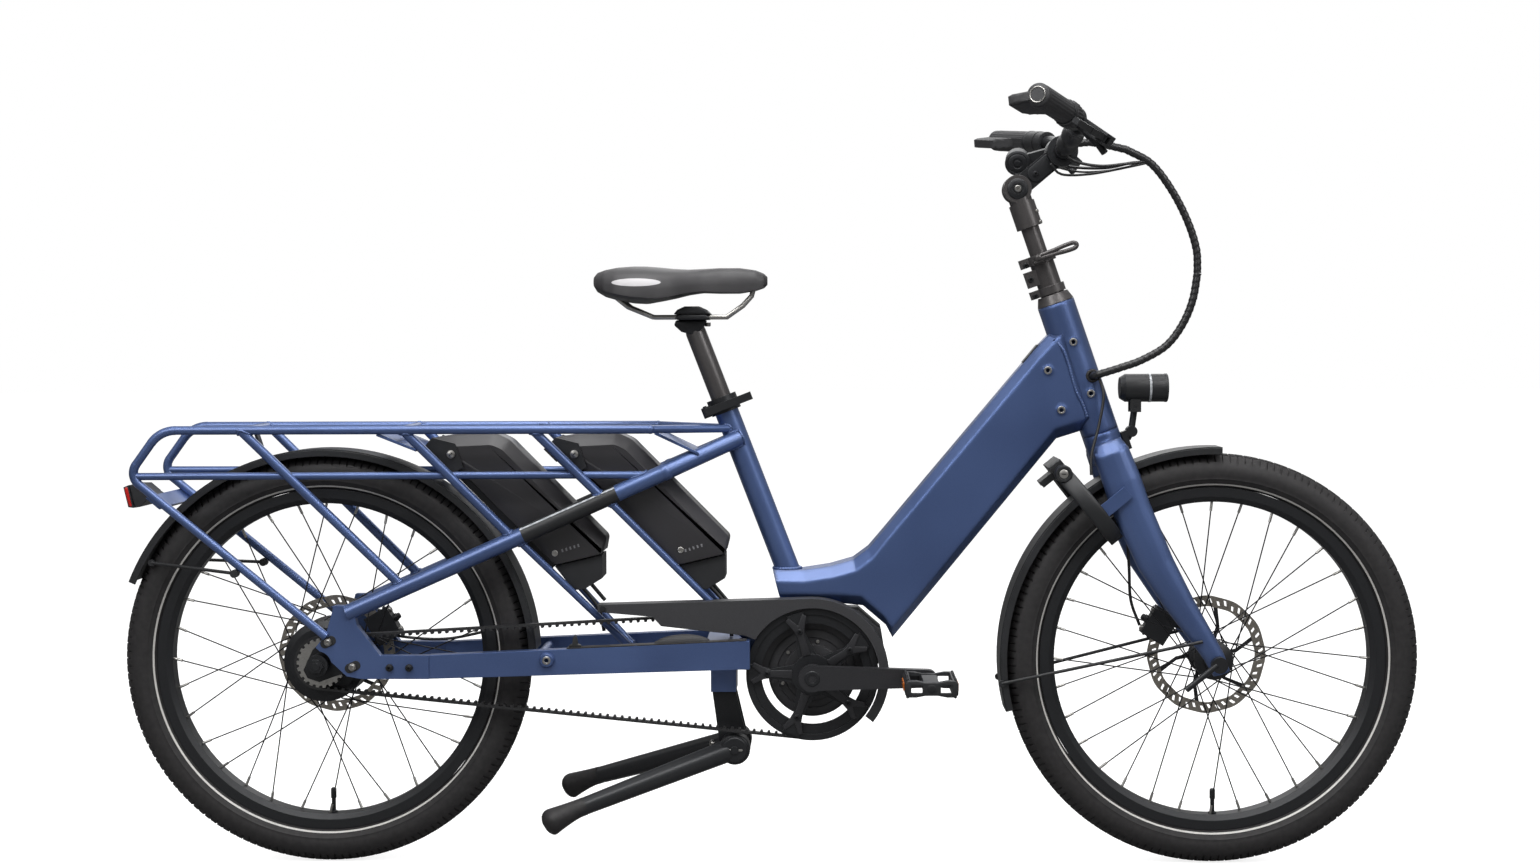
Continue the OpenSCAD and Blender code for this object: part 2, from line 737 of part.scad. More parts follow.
collar_s = seat_tube_length - 16;
collar_d = seat_tube_d + 10;
seat_lever_place = [-27, -25];
seat_lever_pin_d = 6;

module seat_clamp() color(black) at_seat() difference() {
    union() {
        translate([0, 0, collar_s]) cylinder(d = collar_d, h = collar_h);
        translate([-34, -15, collar_s + 2]) cube([16, 30, 16]);
        translate([seat_lever_place.x, seat_lever_place.y, collar_s + 2])
            cylinder(d = seat_lever_pin_d, h = 18);
        translate([seat_lever_place.x - 6, seat_lever_place.y - 4, collar_s + 2]) cube([12, 16, 2]);
    }
    translate([0, 0, collar_s - 1]) cylinder(d = seat_tube_d, h = 17);
    translate([0, 0, collar_s - 1]) cylinder(d = seatpost_d + 2 * running_fit + 0.3, h = collar_h + 2);
    translate([-50, -1.5, collar_s - 1]) cube([40, 3, collar_h + 2]);
}

carrier_outline = from_rear([[-24, 300], [-10, 330], [14, 354], [26, 352], [60, 318], [60, 300],
    [48, 298], [21, 290], [0, 282], [-18, 288]]);
washer_d = 32;
nut_in = dropout_out + 2;
nut_d = 22;
nut_t = 7;

module rear_axle() color(black) {
    cross_pin(rear_x, axle_z, rear_axle_d, -dropout_out - 10, dropout_out + 10);
    both_sides() {
        difference() {
            side_plate(carrier_outline, carrier_in, carrier_out);
            cross_pin(rear_x, axle_z, rear_axle_d - 0.2, 0, 100);
        }
        difference() {
            cross_pin(rear_x, axle_z, washer_d, carrier_out, nut_in);
            cross_pin(rear_x, axle_z, rear_axle_d, 0, 100);
        }
        difference() {
            about_y(rear_x, axle_z) translate([0, 0, nut_in]) cylinder(d = nut_d, h = nut_t, $fn = 6);
            cross_pin(rear_x, axle_z, rear_axle_d, 0, 120);
        }
    }
}

rear_disc_y = 52;
front_disc_y = 36;
caliper_back = 9;

module caliper(x, angle, y, reach) translate([x, y, axle_z]) rotate([0, -angle, 0]) difference() {
    translate([disc_d / 2 - 26, -caliper_back, -24]) cube([40, caliper_back + reach, 48]);
    translate([disc_d / 2 - 60, -disc_t / 2 - 0.8, -40]) cube([66, disc_t + 1.6, 80]);
}

module rear_caliper() color(black) caliper(rear_x, 30, rear_disc_y, dropout_in - rear_disc_y);

module tail_light() color("#b01c22") {
    side_plate(from_rear([[-299, 571], [-292, 574], [-284, 540], [-292, 541]]), -38, 38);
    side_plate(from_rear([[-291.5, 574], [-278, 574], [-264, 562], [-264, 552], [-276, 541], [-283.5, 540]]),
        -34, 34);
    side_plate(from_rear([[-264, 565], [-248, 554.4], [-248, 549], [-264, 556]]), -20, 20);
}

bolt_d = 11;
bolt_h = 4;
slot_bolts = from_rear([[17, 344], [53, 307]]);
split_bolts = from_rear([[108, 306], [137, 306]]);

module frame_bolts() color(steel) {
    for (p = slot_bolts) both_sides() cross_pin(p.x, p.y, bolt_d, dropout_out, dropout_out + bolt_h);
    for (p = split_bolts) cross_pin(p.x, p.y, bolt_d, -dropout_out - bolt_h, -dropout_out);
    cross_pin(-243, 391, 9, guard_y - 2, guard_y);
    for (i = [0, 1]) battery_at(i) both_sides() cross_pin(-470, 620, 12, dock_plate_out, dock_plate_out + 3);
}

// Wheels

rim_in = rim_d / 2 - rim_depth;
tyre_mid = tyre_d / 2 - tyre_w / 2;

module tyre(x) about_y(x, axle_z) rotate_extrude($fn = 128) difference() {
    translate([tyre_mid, 0]) circle(d = tyre_w);
    translate([tyre_mid, 0]) circle(d = tyre_w - 2 * tyre_wall);
    translate([rim_in, -tyre_w]) square([rim_d / 2 - rim_in + seat_gap, 2 * tyre_w]);
}

module rim(x) about_y(x, axle_z) rotate_extrude($fn = 128) polygon([
    [rim_in, -rim_w / 3], [rim_in + 8, -rim_w / 2], [rim_d / 2, -rim_w / 2], [rim_d / 2, -rim_w / 2 + 2.5],
    [rim_d / 2 - 10, -rim_w / 2 + 4], [rim_d / 2 - 10, rim_w / 2 - 4], [rim_d / 2, rim_w / 2 - 2.5],
    [rim_d / 2, rim_w / 2], [rim_in + 8, rim_w / 2], [rim_in, rim_w / 3]]);

nipple_d = 4;
nipple_length = 14;

// Spokes leave the flange forward and backward in turn, and cross on the way to the rim.
module spokes(x, flange_r, flange_y, lead) about_y(x, axle_z) for (i = [0:spoke_count - 1]) {
    side = i % 2 * 2 - 1;
    pull = floor(i / 2) % 2 * 2 - 1;
    a = i * 360 / spoke_count;
    h = a + pull * lead;
    from = [flange_r * cos(h), flange_r * sin(h), side * flange_y + pull * 2.3];
    to = [rim_in * cos(a), rim_in * sin(a), side * 4 + pull * 1.3];
    length = norm(to - from);
    nipple_from = length - nipple_length;
    tip = length - 0.4;
    along(from, to) rotate_extrude($fn = 16) polygon([[0, 0], [spoke_d / 2, 0], [spoke_d / 2, nipple_from],
        [nipple_d / 2, nipple_from], [nipple_d / 2, tip], [0, tip]]);
}

module front_tyre() color(black) tyre(front_x);
module rear_tyre() color(black) tyre(rear_x);
module front_rim() color(black) rim(front_x);
module rear_rim() color(black) rim(rear_x);

front_flange_y = 26;
rear_flange_y = 30;
module front_spokes() color(grey) spokes(front_x, front_flange_d / 2 + 0.5, front_flange_y, 67.5);
module rear_spokes() color(grey) spokes(rear_x, rear_drum_d / 2 + 0.5, rear_flange_y, 45);

module front_hub() color(black) about_y(front_x, axle_z) rotate_extrude() polygon([
    [front_axle_d / 2 + running_fit, -front_hub_w / 2], [14, -front_hub_w / 2], [16, -36],
    [front_flange_d / 2, -31], [front_flange_d / 2, -21], [17, -15], [17, 15],
    [front_flange_d / 2, 21], [front_flange_d / 2, 31], [20, front_disc_y - disc_t / 2],
    [15, front_disc_y - disc_t / 2], [15, front_hub_w / 2],
    [front_axle_d / 2 + running_fit, front_hub_w / 2]]);

module rear_hub() color(black) about_y(rear_x, axle_z) rotate_extrude() polygon([
    [rear_axle_d / 2 + running_fit, -rear_hub_half], [rear_boss_d / 2, -rear_hub_half],
    [rear_boss_d / 2, -40], [rear_drum_d / 2 - 10, -40], [rear_drum_d / 2, -34],
    [rear_drum_d / 2, 34], [rear_drum_d / 2 - 16, 44], [rear_boss_d / 2, 44],
    [rear_boss_d / 2, rear_hub_half], [rear_axle_d / 2 + running_fit, rear_hub_half]]);

disc_band = 16;
disc_arm_w = 8;
disc_hole_d = 7;

// A brake disc: friction ring, six arms and a centre that sits on the hub's boss.
module disc(x, y, bore_d) about_y(x, axle_z) translate([0, 0, y - disc_t / 2]) {
    difference() {
        union() {
            difference() {
                cylinder(d = disc_d, h = disc_t);
                translate([0, 0, -1]) cylinder(d = disc_d - 2 * disc_band, h = disc_t + 2);
            }
            cylinder(d = bore_d + 16, h = disc_t);
            for (i = [0:5]) rotate([0, 0, i * 60]) translate([bore_d / 2 + 2, -disc_arm_w / 2, 0])
                cube([disc_d / 2 - disc_band + 2 - bore_d / 2, disc_arm_w, disc_t]);
        }
        translate([0, 0, -1]) cylinder(d = bore_d, h = disc_t + 2);
        for (i = [0:11]) rotate([0, 0, i * 30 + 15]) translate([disc_d / 2 - 8, 0, -1])
            cylinder(d = disc_hole_d, h = disc_t + 2);
    }
}

module front_disc() color(steel) disc(front_x, front_disc_y, 30);
module rear_disc() color(steel) disc(rear_x, rear_disc_y, rear_boss_d);

// Drive

module rear_pulley() color(steel) translate([rear_x, belt_y, axle_z])
    pulley_rim(rear_pitch_r, rear_teeth, tooth_angle(rear_tooth_s[0], rear_c),
        rear_boss_d + 2 * running_fit, belt_w + 2);

spider_y = belt_y - belt_w / 2 - 0.5;
spider_t = 7;
spider_step = 0.5;
spider_turn = 178;
pulley_bore = 152;
spider_d = 62;
spider_arm = [[24, -15], [62, -7], [94, -13], [94, 13], [62, 7], [24, 15]];

module front_pulley() color(black) {
    translate([crank_x, belt_y, crank_z])
        pulley_rim(front_pitch_r, front_teeth, tooth_angle(front_tooth_s[0], crank_c),
            pulley_bore, belt_w + 2);
    difference() {
        union() {
            cross_pin(crank_x, crank_z, spider_d, spider_y - spider_t - spider_step, spider_y + spider_step);
            for (i = [0:4]) translate([crank_x, 0, crank_z]) rotate([0, -spider_turn - i * 72, 0])
                side_plate(spider_arm, spider_y - spider_t, spider_y - spider_step / 2);
            difference() {
                cross_pin(crank_x, crank_z, 2 * front_pitch_r + 2 * belt_back, spider_y - 3, spider_y);
                cross_pin(crank_x, crank_z, 2 * front_pitch_r - 14, spider_y - 4, spider_y + 1);
            }
        }
        cross_pin(crank_x, crank_z, crank_axle_d, -100, 0);
    }
}

crank_eye_d = 36;
crank_tip_d = 26;
pedal_in = crank_in + crank_t + 3;
pedal_axle_end = pedal_in + pedal_w - 12;

module crank_arm(x1) {
    difference() {
        union() {
            cross_pin(crank_x, crank_z, crank_eye_d + 4, crank_in, crank_in + crank_t);
            cross_pin(x1, crank_z, crank_tip_d, crank_in, crank_in + crank_t);
            side_plate([[crank_x, crank_z - crank_eye_d / 2], [x1, crank_z - crank_tip_d / 2],
                [x1, crank_z + crank_tip_d / 2], [crank_x, crank_z + crank_eye_d / 2]],
                crank_in, crank_in + crank_t);
        }
        cross_pin(crank_x, crank_z, crank_axle_d, 0, crank_in + crank_t - 3);
    }
    cross_pin(x1, crank_z, pedal_axle_d, crank_in + crank_t - 1, pedal_axle_end);
}

module cranks() color(black) {
    mirror([0, 1, 0]) crank_arm(crank_x + crank_length);
    crank_arm(crank_x - crank_length);
    cross_pin(crank_x, crank_z, crank_axle_d, -crank_in - crank_t + 3, crank_in + crank_t - 3);
}

pedal_l = 76;
pedal_h = 24;

module pedal(x) difference() {
    union() {
        translate([x - pedal_l / 2, pedal_in, crank_z - pedal_h / 2]) difference() {
            cube([pedal_l, pedal_w, pedal_h]);
            for (side = [0, 1]) translate([8 + side * (pedal_l / 2 + 3), 9, -1])
                cube([pedal_l / 2 - 19, pedal_w - 18, pedal_h + 2]);
        }
    }
    cross_pin(x, crank_z, pedal_axle_d + 2 * running_fit, 0, pedal_axle_end + 1);
}

module right_pedal() color(black) mirror([0, 1, 0]) pedal(crank_x + crank_length);
module left_pedal() color(black) pedal(crank_x - crank_length);

// Fork and front end

crown_s = 332;
crown_d = 56;
// Sections of a fork leg: height on the steering axis, then middle and half length forward,
// then middle and half width sideways.
leg_sections = [
    [362, 0, 22, 38, 10], [345, 1, 27, 46, 14], [300, 2, 28.5, 50, 14], [256, 2, 28.5, 51, 14],
    [170, 9, 27, 53, 13], [100, 23, 22, 56, 11.5], [50, 36, 18, 59, 10],
    [12, 45, 15.5, 60, 9.5], [-16, 48, 13, 60, 9]
];
leg_sides = 16;

function leg_ring(s) = [for (i = [0:leg_sides - 1]) let (a = i * 360 / leg_sides)
    [s[1] + s[2] * cos(a), s[3] + s[4] * sin(a), s[0]]];

fork_slot_d = front_axle_d;

module fork() color(blue) at_steer() difference() {
    union() {
        translate([0, 0, crown_s]) cylinder(d = crown_d, h = head_start - crown_s - 0.5);
        translate([0, 0, head_start - 1]) cylinder(d = steerer_d, h = steerer_top - head_start + 1);
        translate([-24, -52, crown_s]) cube([48, 104, 20]);
        both_sides() loft([for (s = leg_sections) leg_ring(s)]);
    }
    translate([0, 0, head_start + 4]) cylinder(d = post_d + 2 * running_fit, h = steerer_top);
    translate([fork_rake, -100, 0]) rotate([-90, 0, 0]) cylinder(d = fork_slot_d, h = 200);
}

module front_axle() color(black) {
    cross_pin(front_x, axle_z, front_axle_d, -74, 72);
    cross_pin(front_x, axle_z, 24, -82, -70);
    tube([front_x - 4, -79, axle_z], [front_x - 50, -83, axle_z - 36], 9);
    cross_pin(front_x, axle_z, 22, 70, 76);
}

module front_fender() color(black) fender(front_x, fender_front[0], fender_front[1]);

// Height on the steering axis where the fender's crown meets the block under the fork's crown.
fender_top_s = sqrt(pow(fender_r + fender_t, 2) - pow(fork_rake - 10, 2)) + seat_gap;

module front_fender_stays() color(black) {
    both_sides() {
        tube([front_x - 316, fender_w / 2 + 4, axle_z - 34], [front_x - 24, 72, axle_z + 34], stay_wire_d);
        cross_pin(front_x - 316, axle_z - 34, 10, fender_w / 2 + fender_t / 2 + seat_gap, fender_w / 2 + 6);
    }
    at_steer() translate([-10, -10, fender_top_s]) cube([20, 20, crown_s - seat_gap - fender_top_s]);
}

module front_caliper() color(black) caliper(front_x, 148, front_disc_y, 12);

// Ring lock: local z is along the wheel, y points away from the axle and x is the bicycle's Y.
module at_lock() translate([front_x, 0, axle_z]) rotate([0, -lock_angle + 90, 0])
    translate([0, 0, lock_centre]) rotate([90, 0, 90]) children();

lock_open = 58;
lock_section = [17, 21];
lock_ear_in = 65.2;
lock_ear_t = 5;

module ring_lock() color(black) at_lock() difference() {
    union() {
        rotate_extrude(angle = 180 + 2 * lock_open, start = -lock_open) translate([lock_r, 0])
            square(lock_section, center = true);
        translate([-48, lock_r - 34, -lock_section.y / 2]) cube([96, 42, lock_section.y]);
        translate([-22, lock_r - 30, -34]) cube([44, 28, 34]);
        for (side = [-1, 1]) translate([side * (lock_ear_in + lock_ear_t / 2), -18, 26])
            cube([lock_ear_t, 20, 62], center = true);
    }
    rotate_extrude(angle = 359.9) translate([lock_r, 0]) circle(d = lock_bar_d + 1);
    translate([0, 0, -60]) cylinder(r = lock_r - lock_section.x / 2 - 0.01, h = 120);
}

shackle_span = 118;

module lock_shackle() color(steel) at_lock()
    rotate_extrude(angle = shackle_span, start = 180 + lock_open - 2 - shackle_span) translate([lock_r, 0])
        circle(d = lock_bar_d);

light_pivot = [front_x - 115, 687];
light_joint = [front_x - 120, 650];
light_pin_d = 5;
light_axis_z = 715;
light_d = 42;
light_x = [front_x - 138, front_x - 68];
light_length = light_x[1] - light_x[0];

module headlight_arm() color(black) {
    at_steer() translate([crown_d / 2 + seat_gap, -8, crown_s + 6]) cube([9, 16, 28]);
    tube([light_joint.x - 6, 0, 639], [light_joint.x, 0, light_joint.y], 11);
    tube([light_joint.x, 0, light_joint.y], [light_pivot.x, 0, light_pivot.y], 10);
    cross_pin(light_joint.x, light_joint.y, 17, -8, 8);
    cross_pin(light_pivot.x, light_pivot.y, 12, -9, 9);
    cross_pin(light_pivot.x, light_pivot.y, light_pin_d, -13, 13);
}

module headlight() color(black) difference() {
    union() {
        translate([light_x[0], 0, light_axis_z]) rotate([0, 90, 0])
            rotate_extrude() polygon([[0, 0], [light_d / 2 - 5, 0], [light_d / 2, 8],
                [light_d / 2, light_length], [0, light_length]]);
        both_sides() translate([light_pivot.x - 8, 9.3, light_pivot.y - 8])
            cube([16, 3.7, light_axis_z - light_pivot.y - 2]);
    }
    cross_pin(light_pivot.x, light_pivot.y, light_pin_d + 2 * running_fit, -30, 30);
}

// Stem

clamp_end = 658;
ring_s = 644;
lever_pin_d = 6;
lever_place = [-6, -31];

module stem_clamp() color(black) at_steer() difference() {
    union() {
        translate([0, 0, head_end + 0.5]) cylinder(d1 = head_d, d2 = 46, h = 14);
        translate([0, 0, head_end + 14]) cylinder(d = stem_d, h = clamp_end - head_end - 14);
        translate([0, 0, head_end + 16]) cylinder(d = 43, h = 12);
        translate([-32, -11, head_end + 16]) cube([22, 22, 12]);
        translate([-31, -12, head_end + 34]) cube([20, 24, 24]);
        translate([0, 0, ring_s]) cylinder(d = 45, h = clamp_end - ring_s);
        translate([-32, -12, ring_s]) cube([20, 24, clamp_end - ring_s]);
        translate([lever_place.x - 8, lever_place.y - 4, ring_s + 2]) cube([14, 18, 3]);
        translate([lever_place.x, lever_place.y, ring_s + 2]) cylinder(d = lever_pin_d, h = 12);
    }
    translate([0, 0, head_end - 1]) cylinder(d = steerer_d, h = steerer_top - head_end + 1);
    translate([0, 0, steerer_top - 1]) cylinder(d = post_d + 2 * running_fit, h = 100);
}

module stem_lever() color(black) at_steer() difference() {
    union() {
        translate([lever_place.x, lever_place.y, ring_s + 5.3]) cylinder(d = 14, h = 8);
        translate([lever_place.x, lever_place.y - 6, ring_s + 5.3]) cube([58, 7, 8]);
        translate([lever_place.x + 58, lever_place.y - 2.5, ring_s + 5.3]) cylinder(d = 9, h = 8);
    }
    translate([lever_place.x, lever_place.y, ring_s]) cylinder(d = lever_pin_d + 2 * running_fit, h = 30);
}

head_s = 700;
post_inside = 110;
head_block_d = 39;
head_eye_d = 42;
head_w = 36;
fork_slot_w = 22;
pivot_pin_d = 10;

module stem_post() color(black) at_steer() {
    difference() {
        union() {
            translate([0, 0, steerer_top - post_inside])
                cylinder(d = post_d, h = head_s - steerer_top + post_inside + 2);
            translate([0, 0, head_s]) cylinder(d = head_block_d, h = pivot_s - head_s - 6);
            rotate([-90, 0, 0]) translate([0, -pivot_s, -head_w / 2]) cylinder(d = head_eye_d, h = head_w);
        }
        translate([-60, -fork_slot_w / 2, pivot_s - head_block_d / 2 - 2]) cube([120, fork_slot_w, 60]);
    }
    rotate([-90, 0, 0]) translate([0, -pivot_s, -head_w / 2]) cylinder(d = pivot_pin_d, h = head_w);
}

arm_w = fork_slot_w - 0.8;

module at_arm() at_steer() translate([0, 0, pivot_s]) rotate([0, -arm_rise, 0]) children();

clamp_outer = 46;
clamp_w = 48;
clamp_bore = 25.4;

module stem_arm() color(black) at_arm() difference() {
    union() {
        rotate([-90, 0, 0]) translate([0, 0, -arm_w / 2]) cylinder(d = 36, h = arm_w);
        translate([0, -arm_w / 2, -15]) cube([arm_length, arm_w, 30]);
        translate([arm_length, 0, 0]) rotate([-90, 0, 0]) translate([0, 0, -clamp_w / 2])
            cylinder(d = clamp_outer, h = clamp_w);
    }
    rotate([-90, 0, 0]) translate([0, 0, -40]) cylinder(d = pivot_pin_d + 2 * running_fit, h = 80);
    translate([arm_length, 0, 0]) rotate([-90, 0, 0]) translate([0, 0, -40]) cylinder(d = clamp_bore, h = 80);
}

// Handlebar: a straight middle, a rise, and ends swept back to the grips.
bar_mid = [steer_x + bar_x * cos(steer_lean) - bar_s * sin(steer_lean), 0,
    steer_z + bar_x * sin(steer_lean) + bar_s * cos(steer_lean)];
bar_knee = [bar_mid.x, 52, bar_mid.z];
bar_rise = [bar_mid.x + 11, 162, bar_mid.z + 28];
bar_end = [bar_mid.x - 68, bar_half, bar_mid.z + 48];
grip_dir = unit(bar_end - bar_rise);

// Rounds a corner of the bar's path at b, between a and c.
function corner(a, b, c, r, n = 5) = [for (i = [0:n])
    let (t = i / n, p = b + r * unit(a - b), q = b + r * unit(c - b))
    (1 - t) * (1 - t) * p + 2 * t * (1 - t) * b + t * t * q];

module handlebar() color(black) {
    half = concat([bar_knee - [0, 10, 0]], corner(bar_mid, bar_knee, bar_rise, 24),
        corner(bar_knee, bar_rise, bar_end, 26), [bar_end]);
    both_sides() pipe(half, bar_d, 20);
    cross_pin(bar_mid.x, bar_mid.z, clamp_bore, -44, 44);
}

// Local z runs outward along the grip, x points up and y points forward.
module at_grip() along(bar_end - grip_dir * grip_length, bar_end) rotate([0, 0, 180]) children();

grip_bore = bar_d + 0.6;

module grip() difference() {
    union() {
        cylinder(d = grip_d, h = grip_length + 3);
        translate([0, 0, grip_length - 76]) rotate([0, 0, -8]) translate([-8, -42, 0]) cube([15, 40, 77]);
    }
    translate([0, 0, -1]) cylinder(d = grip_bore, h = grip_length + 1);
}

module grips() color(black) both_sides() at_grip() grip();

shifter_length = 26;

shifter_gap = 0.6;
shifter_d = 39;
collar_side_d = 35;

module on_bar(from, d, length) translate([0, 0, from]) difference() {
    cylinder(d = d, h = length);
    translate([0, 0, -1]) cylinder(d = grip_bore, h = length + 2);
}

module twist_shifter() color(grey) mirror([0, 1, 0]) at_grip()
    on_bar(-shifter_length - shifter_gap, shifter_d, shifter_length);

// Brake lever frame: its y axis points forward and down from the bar.
lever_turn = 35;
lever_gap = 52;
lever_pivot_z = -36;
lever_pivot_d = 6;

module at_lever() at_grip() rotate([0, 0, lever_turn]) children();

module brake_body() at_lever() {
    on_bar(lever_pivot_z - 10, 34, 18);
    translate([-9, 15, lever_pivot_z - 30]) difference() {
        cube([18, lever_gap + 8 - 15, 38]);
        translate([4, lever_gap - 15 - 9, 18]) cube([10, 40, 60]);
    }
    translate([-9, lever_gap, lever_pivot_z]) rotate([0, 90, 0]) cylinder(d = lever_pivot_d, h = 18);
}

module brake_lever() at_lever() difference() {
    union() {
        translate([-4.5, lever_gap, lever_pivot_z]) rotate([0, 90, 0]) cylinder(d = 14, h = 9);
        translate([-4.5, lever_gap - 5, lever_pivot_z]) cube([9, 10, 60]);
        translate([-4.5, lever_gap - 5, lever_pivot_z + 58]) rotate([-7, 0, 0]) cube([9, 9, 92]);
    }
    translate([-10, lever_gap, lever_pivot_z]) rotate([0, 90, 0])
        cylinder(d = lever_pivot_d + 2 * running_fit, h = 20);
}

module right_brake_lever() color(black) mirror([0, 1, 0]) brake_lever();
module left_brake_lever() color(black) brake_lever();

module bar_controls() color(black) {
    both_sides() brake_body();
    at_grip() on_bar(-shifter_length - shifter_gap, collar_side_d, shifter_length);
    bell = bar_knee + (bar_rise - bar_knee) * 0.3;
    along(bell, bar_rise) {
        on_bar(0, 31, 12);
        rotate([0, 0, -15]) translate([-8, 13, 0]) cube([16, 40, 12]);
        rotate([0, 0, -15]) translate([0, 62, -9]) cylinder(d = 38, h = 30);
    }
}

// Seat

head_drop = 12;
rail_wire_d = 7;
rail_half = 22;
rail_z = 823;
rail_x = -109;
rail_clamp_y = rail_wire_d / 2 + 0.7 - rail_half;
// The post's head reaches up to the block between the rails.
seat_head_h = rail_z - 4 - seat_gap - seat_z - (post_top_s - head_drop) * cos(seat_lean);

module seatpost() color(black) at_seat() {
    translate([0, 0, post_top_s - seatpost_length]) cylinder(d = seatpost_d, h = seatpost_length);
    translate([0, 0, post_top_s - head_drop]) rotate([0, seat_lean, 0]) translate([-24, -16, 0])
        cube([48, 32, seat_head_h]);
}

module saddle_rails() color(steel) {
    both_sides() pipe([[-223.5, 39.25, 871.5], [-226.5, 39.75, 854.5], [-206, 34, 838],
        [-170, rail_half, rail_z], [-60, rail_half, rail_z], [-36, 14, 840], [-22.8, 10, 854.4],
        [-18.6, 10, 869.8]], rail_wire_d, 10);
    side_plate([[rail_x - 22, rail_z - 4], [rail_x + 22, rail_z - 4], [rail_x + 16, rail_z + 9],
        [rail_x - 16, rail_z + 9]], rail_clamp_y, -rail_clamp_y);
}

saddle_tail = -258;
// Sections of the saddle: share of its length, share of its half width, middle height, half height.
saddle_sections = [
    [0, 0.42, 875, 9.5], [0.03, 0.72, 873, 18], [0.12, 0.96, 872.3, 24.7], [0.2, 1, 869.6, 29.4],
    [0.3, 1, 866.6, 32.4], [0.42, 0.83, 868.6, 27.9], [0.55, 0.53, 872, 22.5], [0.7, 0.34, 874, 22.8],
    [0.86, 0.26, 874, 22], [0.96, 0.2, 875.5, 15], [1, 0.1, 876, 7]
];
saddle_sides = 20;

function saddle_ring(s) = [for (i = [0:saddle_sides - 1]) let (a = i * 360 / saddle_sides)
    [saddle_tail + s[0] * saddle_length, saddle_w / 2 * s[1] * cos(a),
        s[2] + s[3] * sin(a) * (sin(a) > 0 ? 1 : 0.7)]];

module saddle() color(grey) difference() {
    loft([for (s = saddle_sections) saddle_ring(s)]);
    both_sides() tube([-228, 40, 846], [-222, 39, 880], rail_wire_d + 0.6);
    both_sides() tube([-24, 10, 850], [-18, 10, 872], rail_wire_d + 0.6);
}

module seat_lever() color(black) at_seat() difference() {
    union() {
        translate([seat_lever_place.x, seat_lever_place.y, collar_s + 4.3]) cylinder(d = 13, h = 12);
        translate([seat_lever_place.x, seat_lever_place.y - 6.5, collar_s + 4.3]) cube([72, 6, 12]);
    }
    translate([seat_lever_place.x, seat_lever_place.y, collar_s])
        cylinder(d = seat_lever_pin_d + 2 * running_fit, h = 30);
}

// Stand

stand_boss_d = 46;
stand_inner = stand_plate_in + stand_plate_t + 0.4;
stand_bar_d = 12;
stand_bar = stand_z - 10.6;

module stand_legs() color(black) {
    difference() {
        both_sides() {
            cross_pin(stand_x, stand_z, stand_boss_d, stand_inner, stand_leg_y + 20);
            tube(leg_top, stand_foot, stand_leg_d);
            tube(stand_foot - foot_length * unit(stand_foot - leg_top), stand_foot, stand_leg_d + 16);
        }
        cross_pin(stand_x, stand_z, stand_pin_d + 2 * running_fit, -100, 100);
        translate([stand_x - 60, -stand_inner, stand_z - 60]) cube([120, 2 * stand_inner, 120]);
    }
    cross_pin(stand_x - 32, stand_bar, stand_bar_d, -stand_leg_y - 8, stand_leg_y + 8);
}

module rear_battery() color(black) battery_solid();
module front_battery() color(black) battery_at(1) battery_solid();

// Cables from the bar controls to the port in the head tube, in one wrap.
bundle_d = 12;
// Places are given from the front axle.
bundle_path = [
    [-208.5, -66, 1074.5], [-190, -62, 1076], [-169, -58, 1073], [-136, -52, 1066], [-99, -46, 1046],
    [-69, -42, 1009], [-45, -40, 964], [-31, -40, 921], [-29, -40, 885], [-36, -40, 845],
    [-51, -40, 809], [-75, -41, 778],
    [-111, -43, 757], [-142, -44, 746], [-164, -43, 739], [-176, -38, 735.5],
    [-181.3, -30, 733.6], [-181.3, -20, 733.6]
];

module cable_bundle() color(black) pipe([for (p = bundle_path) p + [front_x, 0, 0]], bundle_d, 8);

head_tube();
down_tube();
seat_tube();
rear_stays();
rack();
drive_unit();
belt_guard();
belt();
rear_fender();
control_button();
stand_tower();
battery_docks();
headset_bearings();
seat_clamp();
rear_axle();
rear_caliper();
tail_light();
frame_bolts();
front_tyre();
front_rim();
front_spokes();
front_hub();
front_disc();
rear_tyre();
rear_rim();
rear_spokes();
rear_hub();
rear_disc();
rear_pulley();
cranks();
front_pulley();
right_pedal();
left_pedal();
fork();
front_axle();
front_fender();
front_fender_stays();
front_caliper();
ring_lock();
lock_shackle();
headlight_arm();
headlight();
stem_clamp();
stem_lever();
stem_post();
stem_arm();
handlebar();
grips();
bar_controls();
twist_shifter();
right_brake_lever();
left_brake_lever();
seatpost();
saddle();
saddle_rails();
seat_lever();
stand_legs();
rear_battery();
front_battery();
cable_bundle();
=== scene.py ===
import math
import bpy
from mathutils import Matrix, Vector


